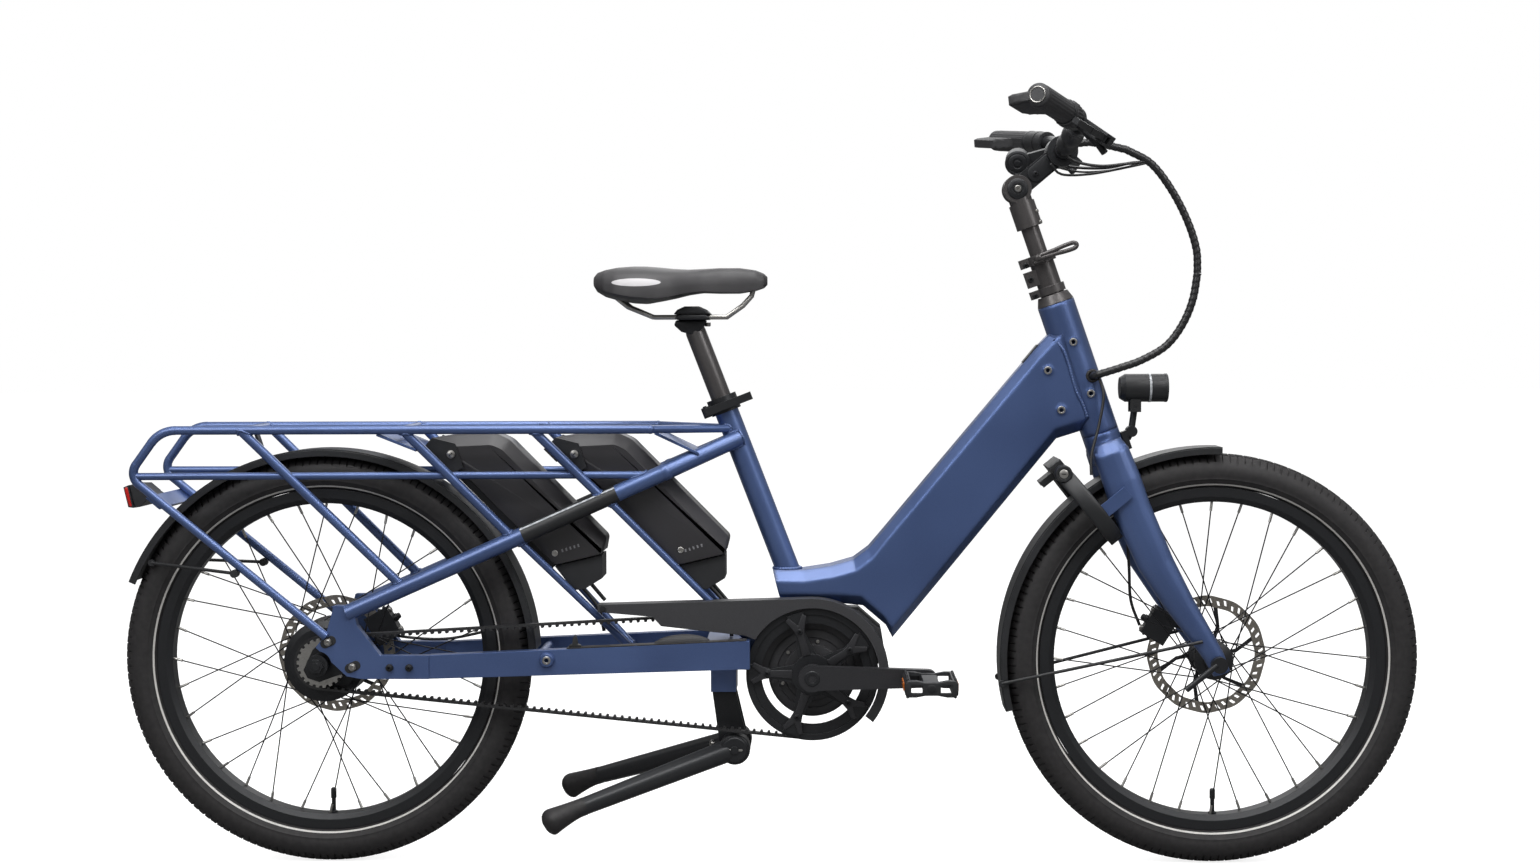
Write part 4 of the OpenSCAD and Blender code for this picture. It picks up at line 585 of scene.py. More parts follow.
def grip_radius(z, turn):
    """How far the sleeve reaches from the bar; the palm rest grows to the back, a little below level."""
    ribs = rib_rise * math.cos(turn * grip_ribs) if rib_start < z < rib_stop else 0.0
    end = 1 - 0.35 * max(0.0, (abs(z - 61) - 58) / 4) ** 2
    swell = min(1.0, max(0.0, (z - 34) / 30))
    swell = swell * swell * (3 - 2 * swell)
    off = turn - rest_lean
    flat = rest_half / max(0.05, abs(math.sin(off)))
    long = (grip_r + rest_reach * swell) / max(0.2, abs(math.cos(off))) if math.cos(off) > 0.2 else 0.0
    return max(grip_r + ribs, min(flat, long)) * end


# The moulded rubber is full of fine pores, which make it quite matt.
grip_rubber = finish("soft_grip_rubber", (1.6, None), ((0, "#232325"), (1, "#2f2f31")), 0.62,
    relief=(0.35, 0.25))
bar_plug = [(0, 0), (11.2, 0), (11.2, 1.2), (10.6, 1.5), (10.0, 1.2), (9.6, 0.4), (0, 0.4)]
grip_collar = [(17.2, -0.3), (17.9, 0.4), (17.9, 6.2), (17.2, 6.9), (16, 6.9), (16, -0.3), (17.2, -0.3)]
for side, label in ((1, "left"), (-1, "right")):

    def sleeve_spot(i, j):
        z, turn = grip_length * i / sleeve_steps, 2 * math.pi * j / sleeve_sides
        r = grip_radius(z, turn)
        return on_grip(r * math.cos(turn), r * math.sin(turn), z, side)

    sleeve = wrap(label + "_grip_sleeve", sleeve_steps, sleeve_sides, sleeve_spot)
    fit(sleeve, "bar", grip_rubber, 40)
    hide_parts("grips")
    outward, bar_end = Vector((grip_aim.x, side * grip_aim.y, grip_aim.z)), on_grip(0, 0, 122.8, side)
    plug = lathe(label + "_bar_plug", bar_plug, bar_end, outward, 40)
    plug.data.materials.append(moulded_black)
    plug.data.materials.append(bright_steel)
    for face in plug.data.polygons:
        out = face.center / MM - bar_end
        face.material_index = int((out - outward * out.dot(outward)).length > 9.7)
    fit(plug, "bar", moulded_black)
    fit(lathe(label + "_grip_collar", grip_collar, on_grip(0, 0, 0, side), outward, 40), "bar",
        black_anodised)


# Twist shifter: a rubber sleeve with long ribs, turning on the bar beside the right grip.
# Its ribs stop short of both ends, where the sleeve is turned in.
twist_start, twist_length, twist_r, twist_end_r = -26.6, 26, 18.6, 17.4
twist_ribs, twist_rise = 24, 1.1
twist_steps, twist_sides = 10, 144


def shifter_spot(i, j):
    z, turn = twist_start + twist_length * i / twist_steps, 2 * math.pi * j / twist_sides
    rib = twist_rise * (0.5 + 0.5 * math.cos(turn * twist_ribs)) if 1 < i < twist_steps - 1 else 0.0
    r = (twist_end_r if i in (0, twist_steps) else twist_r) + rib
    return on_grip(r * math.cos(turn), r * math.sin(turn), z, -1)


twist = wrap("twist_sleeve", twist_steps, twist_sides, shifter_spot)
fit(twist, "shifter", grip_rubber, 40)
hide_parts("twist_shifter")


# Belt: a toothed belt of black polyurethane over carbon cords, run dry and matt.
# It lies round both pulleys and stays there by its own tension.
dress(finish("belt_polyurethane", (4, 3.0), ((0, "#161617"), (1, "#242426")), 0.55), "belt")


# Cable bundle: hoses and wires from the bar, bound in a spiral wrap that bows forward to the head tube.
# It is held on the bar, by the stem and at the port, and is made in three lengths.
def hose(name, points, radius, pitch=6.0, sides=10):
    """A skin round a smooth line through points in mm; radius is a size, or a rule of length run and turn."""
    stops = [Vector(p) for p in points]
    stops = [2 * stops[0] - stops[1], *stops, 2 * stops[-1] - stops[-2]]
    line = []
    for a, b, c, d in zip(stops, stops[1:], stops[2:], stops[3:]):
        cuts = max(2, round((c - b).length / pitch))
        for t in (k / cuts for k in range(cuts)):
            bend = (2 * a - 5 * b + 4 * c - d) * t**2 + (3 * b - a - 3 * c + d) * t**3
            line.append(b + 0.5 * ((c - a) * t + bend))
    line.append(stops[-2])
    rings, run, side = [], 0.0, Vector((0.31, 0.77, 0.55))
    for k, here in enumerate(line):
        ahead = (line[min(k + 1, len(line) - 1)] - line[max(k - 1, 0)]).normalized()
        side = (side - ahead * side.dot(ahead)).normalized()
        run += (here - line[max(k - 1, 0)]).length
        rings.append((here, side, ahead.cross(side), run))

    def spot(i, j):
        here, side, over, run = rings[i]
        turn = 2 * math.pi * j / sides
        reach = radius(run, turn) if callable(radius) else radius
        return here + (side * math.cos(turn) + over * math.sin(turn)) * reach

    return wrap(name, len(rings) - 1, sides, spot)


def spiral_wrap(run, turn):
    """The wrap's strip lies in turns 9 mm apart, each lapping the last."""
    return 5.3 + 0.8 * ((run / 9 - turn / (2 * math.pi)) % 1.0)


def give(cable):
    """Gives a jacketed cable its material and smooth shading, and fixes its transform."""
    cable.data.materials.append(hose_black)
    bpy.ops.object.shade_smooth_by_angle(angle=math.radians(40))
    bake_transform(cable)


# The jackets are smooth nylon, so they keep a slight gloss.
hose_black = finish("black_hose_jacket", (14, 2.0), ((0, "#151516"), (1, "#232325")), 0.38)
bundle = ((457.5, -66, 1074.5), (476, -62, 1076), (497, -58, 1073), (530, -52, 1066), (567, -46, 1046),
    (597, -42, 1009), (621, -40, 964), (635, -40, 921), (637, -40, 885), (630, -40, 845), (615, -40, 809),
    (591, -41, 778), (555, -43, 757), (524, -44, 746), (502, -43, 739), (490, -38, 735.5),
    (484.7, -30, 733.6), (484.7, -24, 733.6))
for name, line, first, second, start, end in (
    ("bundle_at_bar", bundle[:4], "bar", "stem", (470, -63, 1075), (524, -53, 1067)),
    ("bundle_bow", bundle[3:9], "stem", "steering", (535, -51, 1064), (636, -40, 892)),
    ("bundle_to_port", bundle[8:], "steering", "frame", (637, -40, 880), (500, -43, 738)),
):
    length = hose(name, line, spiral_wrap, 1.5, 14)
    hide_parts("cable_bundle")
    give(length)


# Loose cables: brake hoses and switch wires in nylon jackets, which leave the controls and join the bundle
# in front of the bar. Each is held by its control and by the wrap.
for name, line, thick in (
    ("right_brake_hose", ((431, -64, 1066), (452, -63, 1049), (490.5, -60, 1041.6), (530, -56, 1045),
        (560, -48, 1049)), 2.3),
    ("shift_wire", ((420, -48, 1046), (436, -44, 1031), (478, -46, 1031), (530, -52, 1040), (562, -47, 1047)),
        1.9),
    ("left_brake_hose", ((428, 64, 1062), (462, 60, 1050), (510, 34, 1046), (545, -12, 1050),
        (566, -42, 1047)), 2.3),
    ("bell_wire", ((424, 40, 1052), (470, 28, 1040), (520, -8, 1040), (556, -42, 1048)), 1.6),
):
    give(hose(name, line, thick, 5, 10))

# The lock's wire leaves the port and swings down to the ring lock behind the fork.
line = ((488, -27, 737), (495, -33, 726), (499.5, -39, 703), (492, -45, 661), (480, -54, 617),
    (479, -60, 588))
give(hose("lock_wire", line, 2.2, 5, 10))

# The front hose runs down the far fork leg to the caliper; the rear one leaves the far chainstay.
for name, body, line in (
    ("front_hose", "steering", ((548, 47, 560), (546, 40, 500), (549, 38, 440), (552, 40, 391),
        (566, 44, 352))),
    ("rear_hose", "frame", ((-600, 72, 340), (-560, 60, 332), (-494, 58, 330), (-415, 60, 346))),
):
    fit(hose(name, line, 2.3, 6, 10), body, hose_black, 40)


# Welds: each tube end is laid in with a row of small puddles, lacquered over with the frame.
# A bead follows the line where the branch tube's wall meets the other tube.
def puddles(thick, ripple, pitch):
    """A bead's radius, in mm, which swells once to each puddle."""
    return lambda run, turn: thick + ripple * math.cos(2 * math.pi * run / pitch)


def bead(name, start, end, width, other, other_width):
    """A rippled bead where the tube from start to end meets another tube; all in mm."""
    start, ahead = Vector(start), (Vector(end) - Vector(start)).normalized()
    foot, axis = Vector(other[0]), (Vector(other[1]) - Vector(other[0])).normalized()
    side = ahead.cross(axis).normalized()
    over = ahead.cross(side)
    loop = []
    for k in range(25):
        turn = 2 * math.pi * k / 24
        wall = start + (side * math.cos(turn) + over * math.sin(turn)) * width / 2
        gap = (wall - foot) - axis * (wall - foot).dot(axis)
        slope = ahead - axis * ahead.dot(axis)
        a, b, c = slope.dot(slope), 2 * gap.dot(slope), gap.dot(gap) - (other_width / 2) ** 2
        loop.append(wall + ahead * ((-b - math.sqrt(max(0.0, b * b - 4 * a * c))) / (2 * a)))
    return hose(name, loop, puddles(1.9, 0.4, 3.4), 1.1, 8)


def on_stay(x, side):
    """The place at x on a main stay's axis; side is 1 left and -1 right."""
    share = (x - stay_foot[0]) / (stay_bend[0] - stay_foot[0])
    y, z = (low + (high - low) * share for low, high in zip(stay_foot[1:], stay_bend[1:]))
    return (x, side * y, z)


def joined(pieces):
    """Makes one piece of several, under the first one's name."""
    bpy.ops.object.select_all(action="DESELECT")
    for piece in pieces:
        piece.select_set(True)
    bpy.context.view_layer.objects.active = pieces[0]
    bpy.ops.object.join()
    return pieces[0]


seat_foot, seat_up, seat_width = Vector((43, 0, 410)), Vector((-0.35837, 0, 0.93358)), 36
seat_axis = (seat_foot, seat_foot + seat_up * 300)
stay_foot, stay_bend, stay_width = (-622, 77, 386), (-150, 64, 594), 25
# A strut falls and a stay rises by so much for each mm along; the stay's line passes stay_level where x is 0.
strut_fall, stay_rise, stay_level = 1.006, 0.4407, 660.1
rail_y, rail_z, rail_width, strut_y, strut_width, brace_width = 85, 658, 13, 81, 14, 11
beads = []
for side, label in ((1, "left"), (-1, "right")):
    stay = (on_stay(stay_foot[0], side), on_stay(stay_bend[0], side))
    rail = ((-871, side * rail_y, rail_z), (-170, side * rail_y, rail_z))
    tail_strut = ((-775, side * rail_y, rail_z), (-538, side * 74, 424))
    joins = [(stay[1], (-42, side * 12, 641.6), stay_width, seat_axis, seat_width),
        (rail[1], (-52, side * 10, 656), 12, seat_axis, seat_width),
        ((-934, side * rail_y, 590), (-162, side * 65, 590), brace_width, stay, stay_width),
        (*tail_strut, strut_width, stay, stay_width), (*tail_strut[::-1], strut_width, rail, rail_width)]
    for x, foot in ((-536, (-207, side * 18, 327)), (-344, (-28, side * 30, 340))):
        top = (x, side * strut_y, rail_z)
        meet = on_stay((rail_z - stay_level + strut_fall * x) / (strut_fall + stay_rise), side)
        low = (meet[0] + 3.66, meet[1], meet[2] + 1.6)
        joins += [(top, meet, strut_width, stay, stay_width), (meet, top, strut_width, rail, rail_width),
            (foot, low, brace_width, stay, stay_width)]
    for x in (-775, -540):
        joins.append(((x, 0, rail_z), (x, side * rail_y, rail_z), brace_width, rail, rail_width))
    beads += [bead(f"{label}_weld_{k}", *join) for k, join in enumerate(joins)]
    seam = []
    for x, z in ((412, 799), (428, 788), (441, 772), (449, 750), (455, 729), (462, 707), (470, 692),
            (477, 672)):
        walls = []
        for tube in ("head_tube", "down_tube"):
            met, spot, _, _ = nodes[tube].ray_cast(Vector((x, side * 200, z)) * MM, (0, -side, 0))
            walls += [side * spot.y / MM] if met else []
        seam += [(x, side * max(walls), z)] if walls else []
    beads.append(hose(label + "_head_weld", seam, puddles(2.6, 0.5, 4.2), 1.3, 10))
turns = [2 * math.pi * k / 32 for k in range(33)]
ring_x, ring_z, ring_long, ring_wide = 29.6, 445, 19.8, 18.6
foot_ring = [(ring_x + ring_long * math.cos(turn), ring_wide * math.sin(turn), ring_z) for turn in turns]
beads.append(hose("seat_tube_weld", foot_ring, puddles(2.6, 0.5, 4.2), 1.3, 10))
frame_welds = joined(beads)
frame_welds.name = "frame_welds"
fit(frame_welds, "frame", frame_lacquer, 60)


# Seat post: a drawn aluminium tube with a forged head, two yokes that grip the saddle's rails and two bolts.
# The post slides in the seat tube, in the collar below. It and the stem are hard-anodised to a dark grey.
post_grey = finish("hard_anodised_grey", (0.8, 3.0), ((0.3, "#4a4848"), (0.75, "#5e5b5b")), 0.36, 0.6,
    edge=1.2)
post_tube = [(0, 0), (14.4, 0), (15.4, 1.5), (15.4, 282), (14.4, 288), (9, 290), (0, 290)]
post_start = 136
post = lathe("post_tube", post_tube, seat_foot + seat_up * post_start, seat_up, 48)
fit(post, "seat", post_grey)
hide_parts("seatpost")
for name, outline, half in (
    ("post_head", [(-128, 801), (-106, 795), (-96, 806), (-90, 818.6), (-136, 818.6), (-139, 811)], 15),
    ("low_yoke", [(-134, 818.8), (-86, 818.8), (-84, 822), (-90, 826.4), (-131, 826.4), (-137, 822)], 30),
    ("top_yoke", [(-139, 827), (-83, 827), (-90, 834), (-101, 839), (-122, 839), (-133, 834)], 30),
):
    forged = fit(slab(name, outline, -half, half, 2.6), "seat", black_anodised)
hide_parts("seatpost")
yoke_bolt = [(0, 0), (4.6, 0), (4.6, 5), (3.6, 6), (2.4, 6), (2.2, 3), (0, 3)]
for x in (-133, -89):
    fit(lathe("yoke_bolt", yoke_bolt, (x, 0, 815), (0, 0, -1), 24), "seat", bright_steel)


# Tail light: a red acrylic lens, clipped into its case at the end of the rack.
# It is moulded with upright ribs, which break the light into streaks.
red_lens, tree, shader, place = blank("red_lens_acrylic")
ribs = add(tree, "TexWave", {"Scale": 1 / (9 * MM), "bands_direction": "Y"}, {"Vector": place})
skin = add(tree, "Bump", {"Strength": 0.4, "Distance": 0.5 * MM}, {"Height": ribs.outputs["Fac"]})
wire(tree, shader, {"Base Color": linear("#b3201b"), "Roughness": 0.16}, {"Normal": skin.outputs["Normal"]})
lens_edge = [(-964.6, 570), (-958.5, 573.4), (-951, 540.6), (-957.6, 541.4)]
fit(slab("tail_lens", lens_edge, -39, 39, 3.0, 5), "frame", red_lens, 60)


# Stand tower and frame bolts: the tower's forged top is lacquered with the frame and its lower end is black.
# Of the bolts, the two at the dropout's split and the guard's one are black, and the others are plated.
def repaint(node, paint, rule):
    """Gives a second material to the faces of a CAD node for which rule(x, y, z), in mm, holds."""
    mesh = nodes[node].data
    mesh.materials.append(paint)
    for face in mesh.polygons:
        if rule(*(face.center / MM)):
            face.material_index = len(mesh.materials) - 1


repaint("stand_tower", frame_lacquer, lambda x, y, z: z > 262.5 and abs(y) < 36)
repaint("frame_bolts", black_anodised, lambda x, y, z: -570 < x < -500 or abs(x + 243) < 8)


# Bolt heads: cap screws with a hexagon socket, plated or black, turned into threads in the pieces they hold.
# The lock barrels of both battery docks lie here too, each with a black sheet as painted shade in its key
# slot.
def screw(name, place, axis, size, body, paint=black_anodised):
    """A cap screw: a turned head with its edge broken and a six-sided socket."""
    shoulder = (0.5 * size, 0.72 * size)
    rim = [(0, -1), (size, -1), (size, 0.5 * size), (0.82 * size, 0.72 * size), shoulder]
    head = lathe(name, rim, place, axis, 24)
    socket = lathe(name + "_socket", [shoulder, (0.46 * size, 0.1 * size), (0, 0.1 * size)], place, axis, 6)
    fit(joined([head, socket]), body, paint, 30)


steer_foot = Vector((621.56, 0, 293.2))
steer_up, steer_ahead = Vector((-0.32557, 0, 0.94552)), Vector((0.94552, 0, 0.32557))


def on_steer(s, x, y):
    """A place s mm up the steering axis, x mm ahead of it and y mm to the left."""
    return steer_foot + steer_up * s + steer_ahead * x + Vector((0, y, 0))


for k, (s, x, y) in enumerate(((600, -26, -11), (626, -25, -12), (648, -25, -12))):
    screw(f"stem_screw_{k + 1}", on_steer(s, x, y), NEAR, 4.2, "steering")
for k, s in enumerate((703, 720)):
    facing = steer_ahead * 0.87 + Vector((0, -0.49, 0))
    screw(f"post_screw_{k + 1}", on_steer(s, 16.6, -9.6), facing, 3.2, "stem", bright_steel)
slides, dropout_face, dock_face = ((-649, 344), (-613, 307)), -88, -51.2
for (x, z), kind in zip(slides + ((-558, 306), (-529, 306)), [bright_steel] * 2 + [black_anodised] * 2):
    screw(f"dropout_screw_{-x}", (x, dropout_face, z), NEAR, 4.6, "frame", kind)
for k, (x, z) in enumerate(((-470, 620), (-286, 620))):
    barrel = [(0, 0), (5.4, 0), (5.4, 0.6), (4.8, 1.0), (0, 1.0)]
    fit(lathe(f"dock_lock_{k + 1}", barrel, (x, dock_face, z), NEAR, 32), "frame", bright_steel)
    # The key slot is a thin black sheet on the barrel's face, painted shade for the slot.
    key_slot_shade = [(x - 2.6, z - 1.7), (x - 1.7, z - 2.6), (x + 2.6, z + 1.7), (x + 1.7, z + 2.6)]
    fit(slab(f"dock_lock_key_shade_{k + 1}", key_slot_shade, dock_face - 1.3, dock_face - 0.9), "frame",
        moulded_black)


# Threaded inserts: plated steel, in the bosses on the head tube and the down tube, for a front carrier.
# Each is pressed in and stands a little proud of its boss.
insert = [(3.1, -1), (3.1, 0.6), (3.5, 1.1), (5.4, 1.1), (6, 0.5), (6, -1), (3.1, -1)]
for k, place in enumerate(((455.8, -29, 784), (482.1, -29, 707.4), (418, -32.2, 742), (438, -32.2, 683))):
    fit(lathe(f"carrier_insert_{k + 1}", insert, place, NEAR, 32), "frame", bright_steel)


# Chainstay: a rubber strip is glued along its top edge, and a threaded boss stands out for the stand's spring
# or a trailer. A small nylon clip holds the speed sensor.
strip = [(-296, 333.2), (-30, 345), (-30, 346.6), (-296, 334.8)]
fit(slab("stay_strip", strip, -82.4, -63.6, 0.5), "frame", tyre_rubber)
collar = [(9, 0), (11.4, 0), (11.4, 1.6), (9.6, 5.4), (9, 5.8), (9, 0)]
fit(lathe("trailer_boss_collar", collar, (-325, -82, 317), NEAR, 40), "frame", frame_lacquer)
insert = [(3.1, -1), (3.1, 0.6), (3.5, 1.1), (5.6, 1.1), (6.2, 0.5), (6.2, -1), (3.1, -1)]
fit(lathe("trailer_insert", insert, (-325, -88, 317), NEAR, 32), "frame", bright_steel)
clip = [(-293, 334), (-275, 334.8), (-275, 338), (-280, 340), (-281, 349), (-284, 354), (-287, 349),
    (-288, 340), (-293, 338)]
fit(slab("sensor_clip", clip, -78, -68, 1.0), "frame", moulded_black)


# Dock wires: each battery dock feeds the motor through a short jacketed lead behind the guard.
# A lead is plugged in at both ends.
for k, line in enumerate((
    ((-283, -20, 424), (-275, -20, 414), (-263, -20, 400), (-252, -20, 380), (-246, -20, 352)),
    ((-95, -20, 430), (-85, -20, 418), (-68, -20, 399), (-59, -20, 380), (-54, -20, 344)),
)):
    fit(hose(f"dock_lead_{k + 1}", line, 2.8, 3, 12), "frame", hose_black, 60)


# Slots in the dropouts: the axle plates slide in them, and a thin black sheet in each slot is painted shade
# for the dark gap round each bright bolt. Each slot is a short oval that leans back like the dropout.
slot_lean, slot_half, slot_r = math.radians(25), 5, 7.2
for x, z in slides:
    oval = []
    for turn in (2 * math.pi * k / 24 for k in range(24)):
        push = slot_half if math.cos(turn - slot_lean) > 0 else -slot_half
        oval.append((x + push * math.cos(slot_lean) + slot_r * math.cos(turn),
            z + push * math.sin(slot_lean) + slot_r * math.sin(turn)))
    # The black sheet in the slot is painted shade for its gap.
    fit(slab(f"dropout_slot_shade_{-x}", oval, -84.5, -83.8), "frame", moulded_black)


# Spider: five arms of forged aluminium that each fork towards the pulley; a screw holds its ring on each arm.
# Arms and cranks are anodised dark grey over a polished face, so their highlight is fairly tight.
crank_x, crank_z = 67, 292


def round_crank(r, turn, across=0.0):
    """The (x, z) of a place at radius r about the crank's axis, moved across its own arm."""
    return (crank_x + r * math.cos(turn) - across * math.sin(turn),
        crank_z + r * math.sin(turn) + across * math.cos(turn))


spider_grey = finish("spider_dark_anodised", (0.9, 3.0), ((0, "#2c2c2e"), (1, "#404043")), 0.36, 0.5)
dress(spider_grey, "cranks")
pulley_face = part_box("front_pulley")[0].y / MM + 0.5
fork_face = pulley_face - 2
first_arm, screw_circle = 178, 67
prongs = ((30, -6.5), (60, -5), (70, -8), (87, -16), (91, -10.5), (76, 0), (91, 10.5), (87, 16), (70, 8),
    (60, 5), (30, 6.5))
for k in range(5):
    turn = math.radians(first_arm + 72 * k)
    rib = slab(f"spider_fork_{k + 1}", [round_crank(r, turn, w) for r, w in prongs],
        fork_face, pulley_face, 0.7)
    fit(rib, "crankset", spider_grey)
    x, z = round_crank(screw_circle, turn)
    screw(f"ring_screw_{k + 1}", (x, fork_face, z), NEAR, 4.4, "crankset")


# Crank and motor: a cap closes the crank's bolt, and stepped covers ring the motor's axle behind the spider.
# The motor's cover is grey nylon, held by six small bright screws.
cap = [(0, 1.4), (5.2, 1.4), (5.8, 4.2), (10.4, 4.2), (11.6, 3), (11.6, 0), (0, 0)]
fit(lathe("crank_cap", cap, (crank_x, -98, crank_z), NEAR, 40), "crankset", black_anodised)
cover = [(27, -0.5), (65, -0.5), (65, 1.6), (62, 3), (53, 3.4), (51.5, 2), (43, 2), (41.5, 4.4), (31, 5),
    (27, 5), (27, -0.5)]
fit(lathe("motor_cover", cover, (crank_x, -36, crank_z), NEAR, 96), "frame", guard_grey)
cover_circle = 47
for k in range(6):
    x, z = round_crank(cover_circle, math.radians(20 + 60 * k))
    screw(f"motor_screw_{k + 1}", (x, -38, z), NEAR, 2.8, "frame", bright_steel)


# Brake discs: stamped stainless rings with a waved edge and slanted slots, riveted on six raked arms.
# The arms are black aluminium, on a boss beside the hub. The pads rub the ring to an even, warm shine.
disc_steel = finish("brushed_stainless_disc", (2, 4.0), ((0, "#8f8a82"), (1, "#b9b3a9")), 0.36, 1.0)
disc_rows = (73.5, 76.5, 79, 82.5, 86, 90)
disc_mid, disc_slots, slot_rake, rake_over = 82, 44, 0.05, 8
disc_waves, wave_depth = 12, 1.3
columns, rows = 3 * disc_slots, len(disc_rows) - 1
for end, bore in (("front", 15), ("rear", 17)):
    body, centre = end + "_wheel", AXLE[end]
    low, high = (corner.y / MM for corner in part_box(end + "_disc"))
    bpy.ops.object.select_all(action="DESELECT")
    bpy.ops.mesh.primitive_grid_add(x_subdivisions=columns, y_subdivisions=rows, size=2)
    ring = bpy.context.object
    ring.name = end + "_brake_ring"
    bpy.ops.object.mode_set(mode="EDIT")
    bpy.ops.mesh.select_mode(type="FACE")
    bpy.ops.object.mode_set(mode="OBJECT")
    for face in ring.data.polygons:
        column, row = int((face.center.x + 1) / 2 * columns), int((face.center.y + 1) / 2 * rows)
        face.select = column % 3 == 1 and row in ((1, 2) if column // 3 % 2 else (2, 3))
    bpy.ops.object.mode_set(mode="EDIT")
    bpy.ops.mesh.delete(type="FACE")
    bpy.ops.mesh.select_mode(type="VERT")
    bpy.ops.object.mode_set(mode="OBJECT")
    for vertex in ring.data.vertices:
        r = disc_rows[round((vertex.co.y + 1) / 2 * rows)]
        turn = 2 * math.pi * round((vertex.co.x + 1) / 2 * columns) / columns
        turn += slot_rake * (r - disc_mid) / rake_over
        r -= wave_depth * (0.5 - 0.5 * math.cos(disc_waves * turn)) if r > 88 or r < 75 else 0
        vertex.co = (centre + Vector((r * math.cos(turn), high, r * math.sin(turn)))) * MM
    bpy.ops.object.mode_set(mode="EDIT")
    bpy.ops.mesh.select_all(action="SELECT")
    bpy.ops.mesh.remove_doubles(threshold=0.02 * MM)
    bpy.ops.mesh.extrude_region_move(TRANSFORM_OT_translate={"value": (0, (low - high) * MM, 0)})
    fit(closed(ring), body, disc_steel, 30)
    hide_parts(end + "_disc")
    for k in range(6):
        arm = []
        for r, turn in ((bore + 5, -8), (46, 4), (74.6, 17), (74.6, 22), (46, 11), (bore + 5, 10)):
            turn = math.radians(60 * k + turn)
            arm.append((centre.x + r * math.cos(turn), centre.z + r * math.sin(turn)))
        fit(slab(f"{end}_disc_arm_{k + 1}", arm, low + 0.1, high - 0.1), body, black_anodised)
    boss = [(bore, 0), (bore + 8, 0), (bore + 8, high - low), (bore, high - low), (bore, 0)]
    fit(lathe(end + "_disc_boss", boss, (centre.x, low, centre.z), (0, 1, 0), 48), body,
        black_anodised)


# Pedals: an open cage of black nylon on a steel axle, with a window to each side of the axle's barrel.
# An amber reflector sits in its front and back edges, and rows of grip pins stand on both faces.
# Small prisms behind the amber face make it sparkle.
amber = finish("amber_reflector", (2.2, None), ((0, "#d0711c"), (1, "#9c4d12")), 0.2)


def cut_away(piece, cutter):
    """Takes one shape out of a piece and throws that shape away."""
    bpy.ops.object.select_all(action="DESELECT")
    bpy.context.view_layer.objects.active = piece
    window = piece.modifiers.new("window", "BOOLEAN")
    window.object = cutter
    bpy.ops.object.modifier_apply(modifier="window")
    bpy.data.objects.remove(cutter)


half_cage = [(-38, 0), (-38, 8), (-34, 12), (-22, 12), (-9, 9.5), (9, 9.5), (22, 12), (34, 12), (38, 8)]
axle_bore = [(0, -1), (5.3, -1), (5.3, 83), (0, 83)]
end_cap = [(0, 0.8), (5, 0.8), (6.4, 0.2), (6.4, -1), (0, -1)]
pin = [(0, 0), (2.2, 0), (1.8, 2.4), (0, 2.6)]
end_wall, reflector_in = 9, 20
for body, outward in (("right_pedal", -1), ("left_pedal", 1)):
    low, high = (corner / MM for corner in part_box(body))
    mid = (low.x + high.x) / 2
    inner, outer = (low.y, high.y) if outward > 0 else (high.y, low.y)
    side = [(mid + x, crank_z + z) for x, z in half_cage + [(-x, -z) for x, z in half_cage]]
    cage = slab(body + "_cage", side, low.y, high.y, 1.2)
    for flank in (-1, 1):
        well = [(mid + flank * x, crank_z + z) for x, z in ((11, -22), (30, -22), (30, 22), (11, 22))]
        cut_away(cage, slab("well", well, low.y + end_wall, high.y - end_wall))
        window = [(mid + flank * x, crank_z + z) for x, z in ((13, -6), (29, -6), (29, 6), (13, 6))]
        cut_away(cage, slab("end_window", window, low.y - 1, high.y + 1))
        step = [(mid + x, crank_z + flank * z) for x, z in ((-12, 8), (12, 8), (12, 20), (-12, 20))]
        cut_away(cage, slab("barrel_step", step, low.y + end_wall, high.y - end_wall))
    cut_away(cage, lathe("axle_bore", axle_bore, (mid, inner, crank_z), (0, outward, 0), 24))
    fit(cage, body, moulded_black)
    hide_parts(body)
    fit(lathe(body + "_end_cap", end_cap, (mid, outer, crank_z), (0, outward, 0), 24), body,
        black_anodised)
    for k, (x, out) in enumerate(((low.x, -1), (high.x, 1))):
        bar = [(x + out * to_x, crank_z + z) for to_x, z in ((-0.6, -6), (1.6, -5), (1.6, 5), (-0.6, 6))]
        fit(slab(f"{body}_reflector_{k + 1}", bar, low.y + reflector_in, high.y - reflector_in), body,
            amber)
    for k in range(14):
        x = (low.x + 4) if k % 2 else (high.x - 4)
        y = low.y + 8 + (high.y - low.y - 16) * (k // 2) / 6
        for up in (1, -1):
            fit(lathe(f"{body}_pin", pin, (x, y, crank_z + 11.6 * up), (0, 0, up), 10), body,
                moulded_black)


# Headlight: a black case with a white band behind its rim and a clear lens in front.
# The rim snaps over the case and holds the lens, whose facets show as pale cells.
light_z = 715
lens_clear = finish("clear_lens_acrylic", (6, None), ((0, "#c9ccd0"), (1, "#8d9196")), 0.08)
for name, x, profile, paint, slot in (
    ("headlight_band", 571, [(20.5, 0), (21.6, 0), (21.6, 3.2), (20.5, 3.2), (20.5, 0)], lens_clear,
        "grey_plastic"),
    ("headlight_lens", 598, [(18.6, -0.2), (18.2, 1.2), (14, 2.4), (7, 3.0), (0, 3.2)], lens_clear,
        "grey_plastic"),
    ("headlight_rim", 598, [(21.4, -3), (21.6, 0.4), (20.4, 1.4), (18.6, 0.8), (18.6, -0.2)], moulded_black,
        "black_plastic"),
):
    fit(lathe(name, profile, (x, 0, light_z), (1, 0, 0), 48), "headlight", paint)


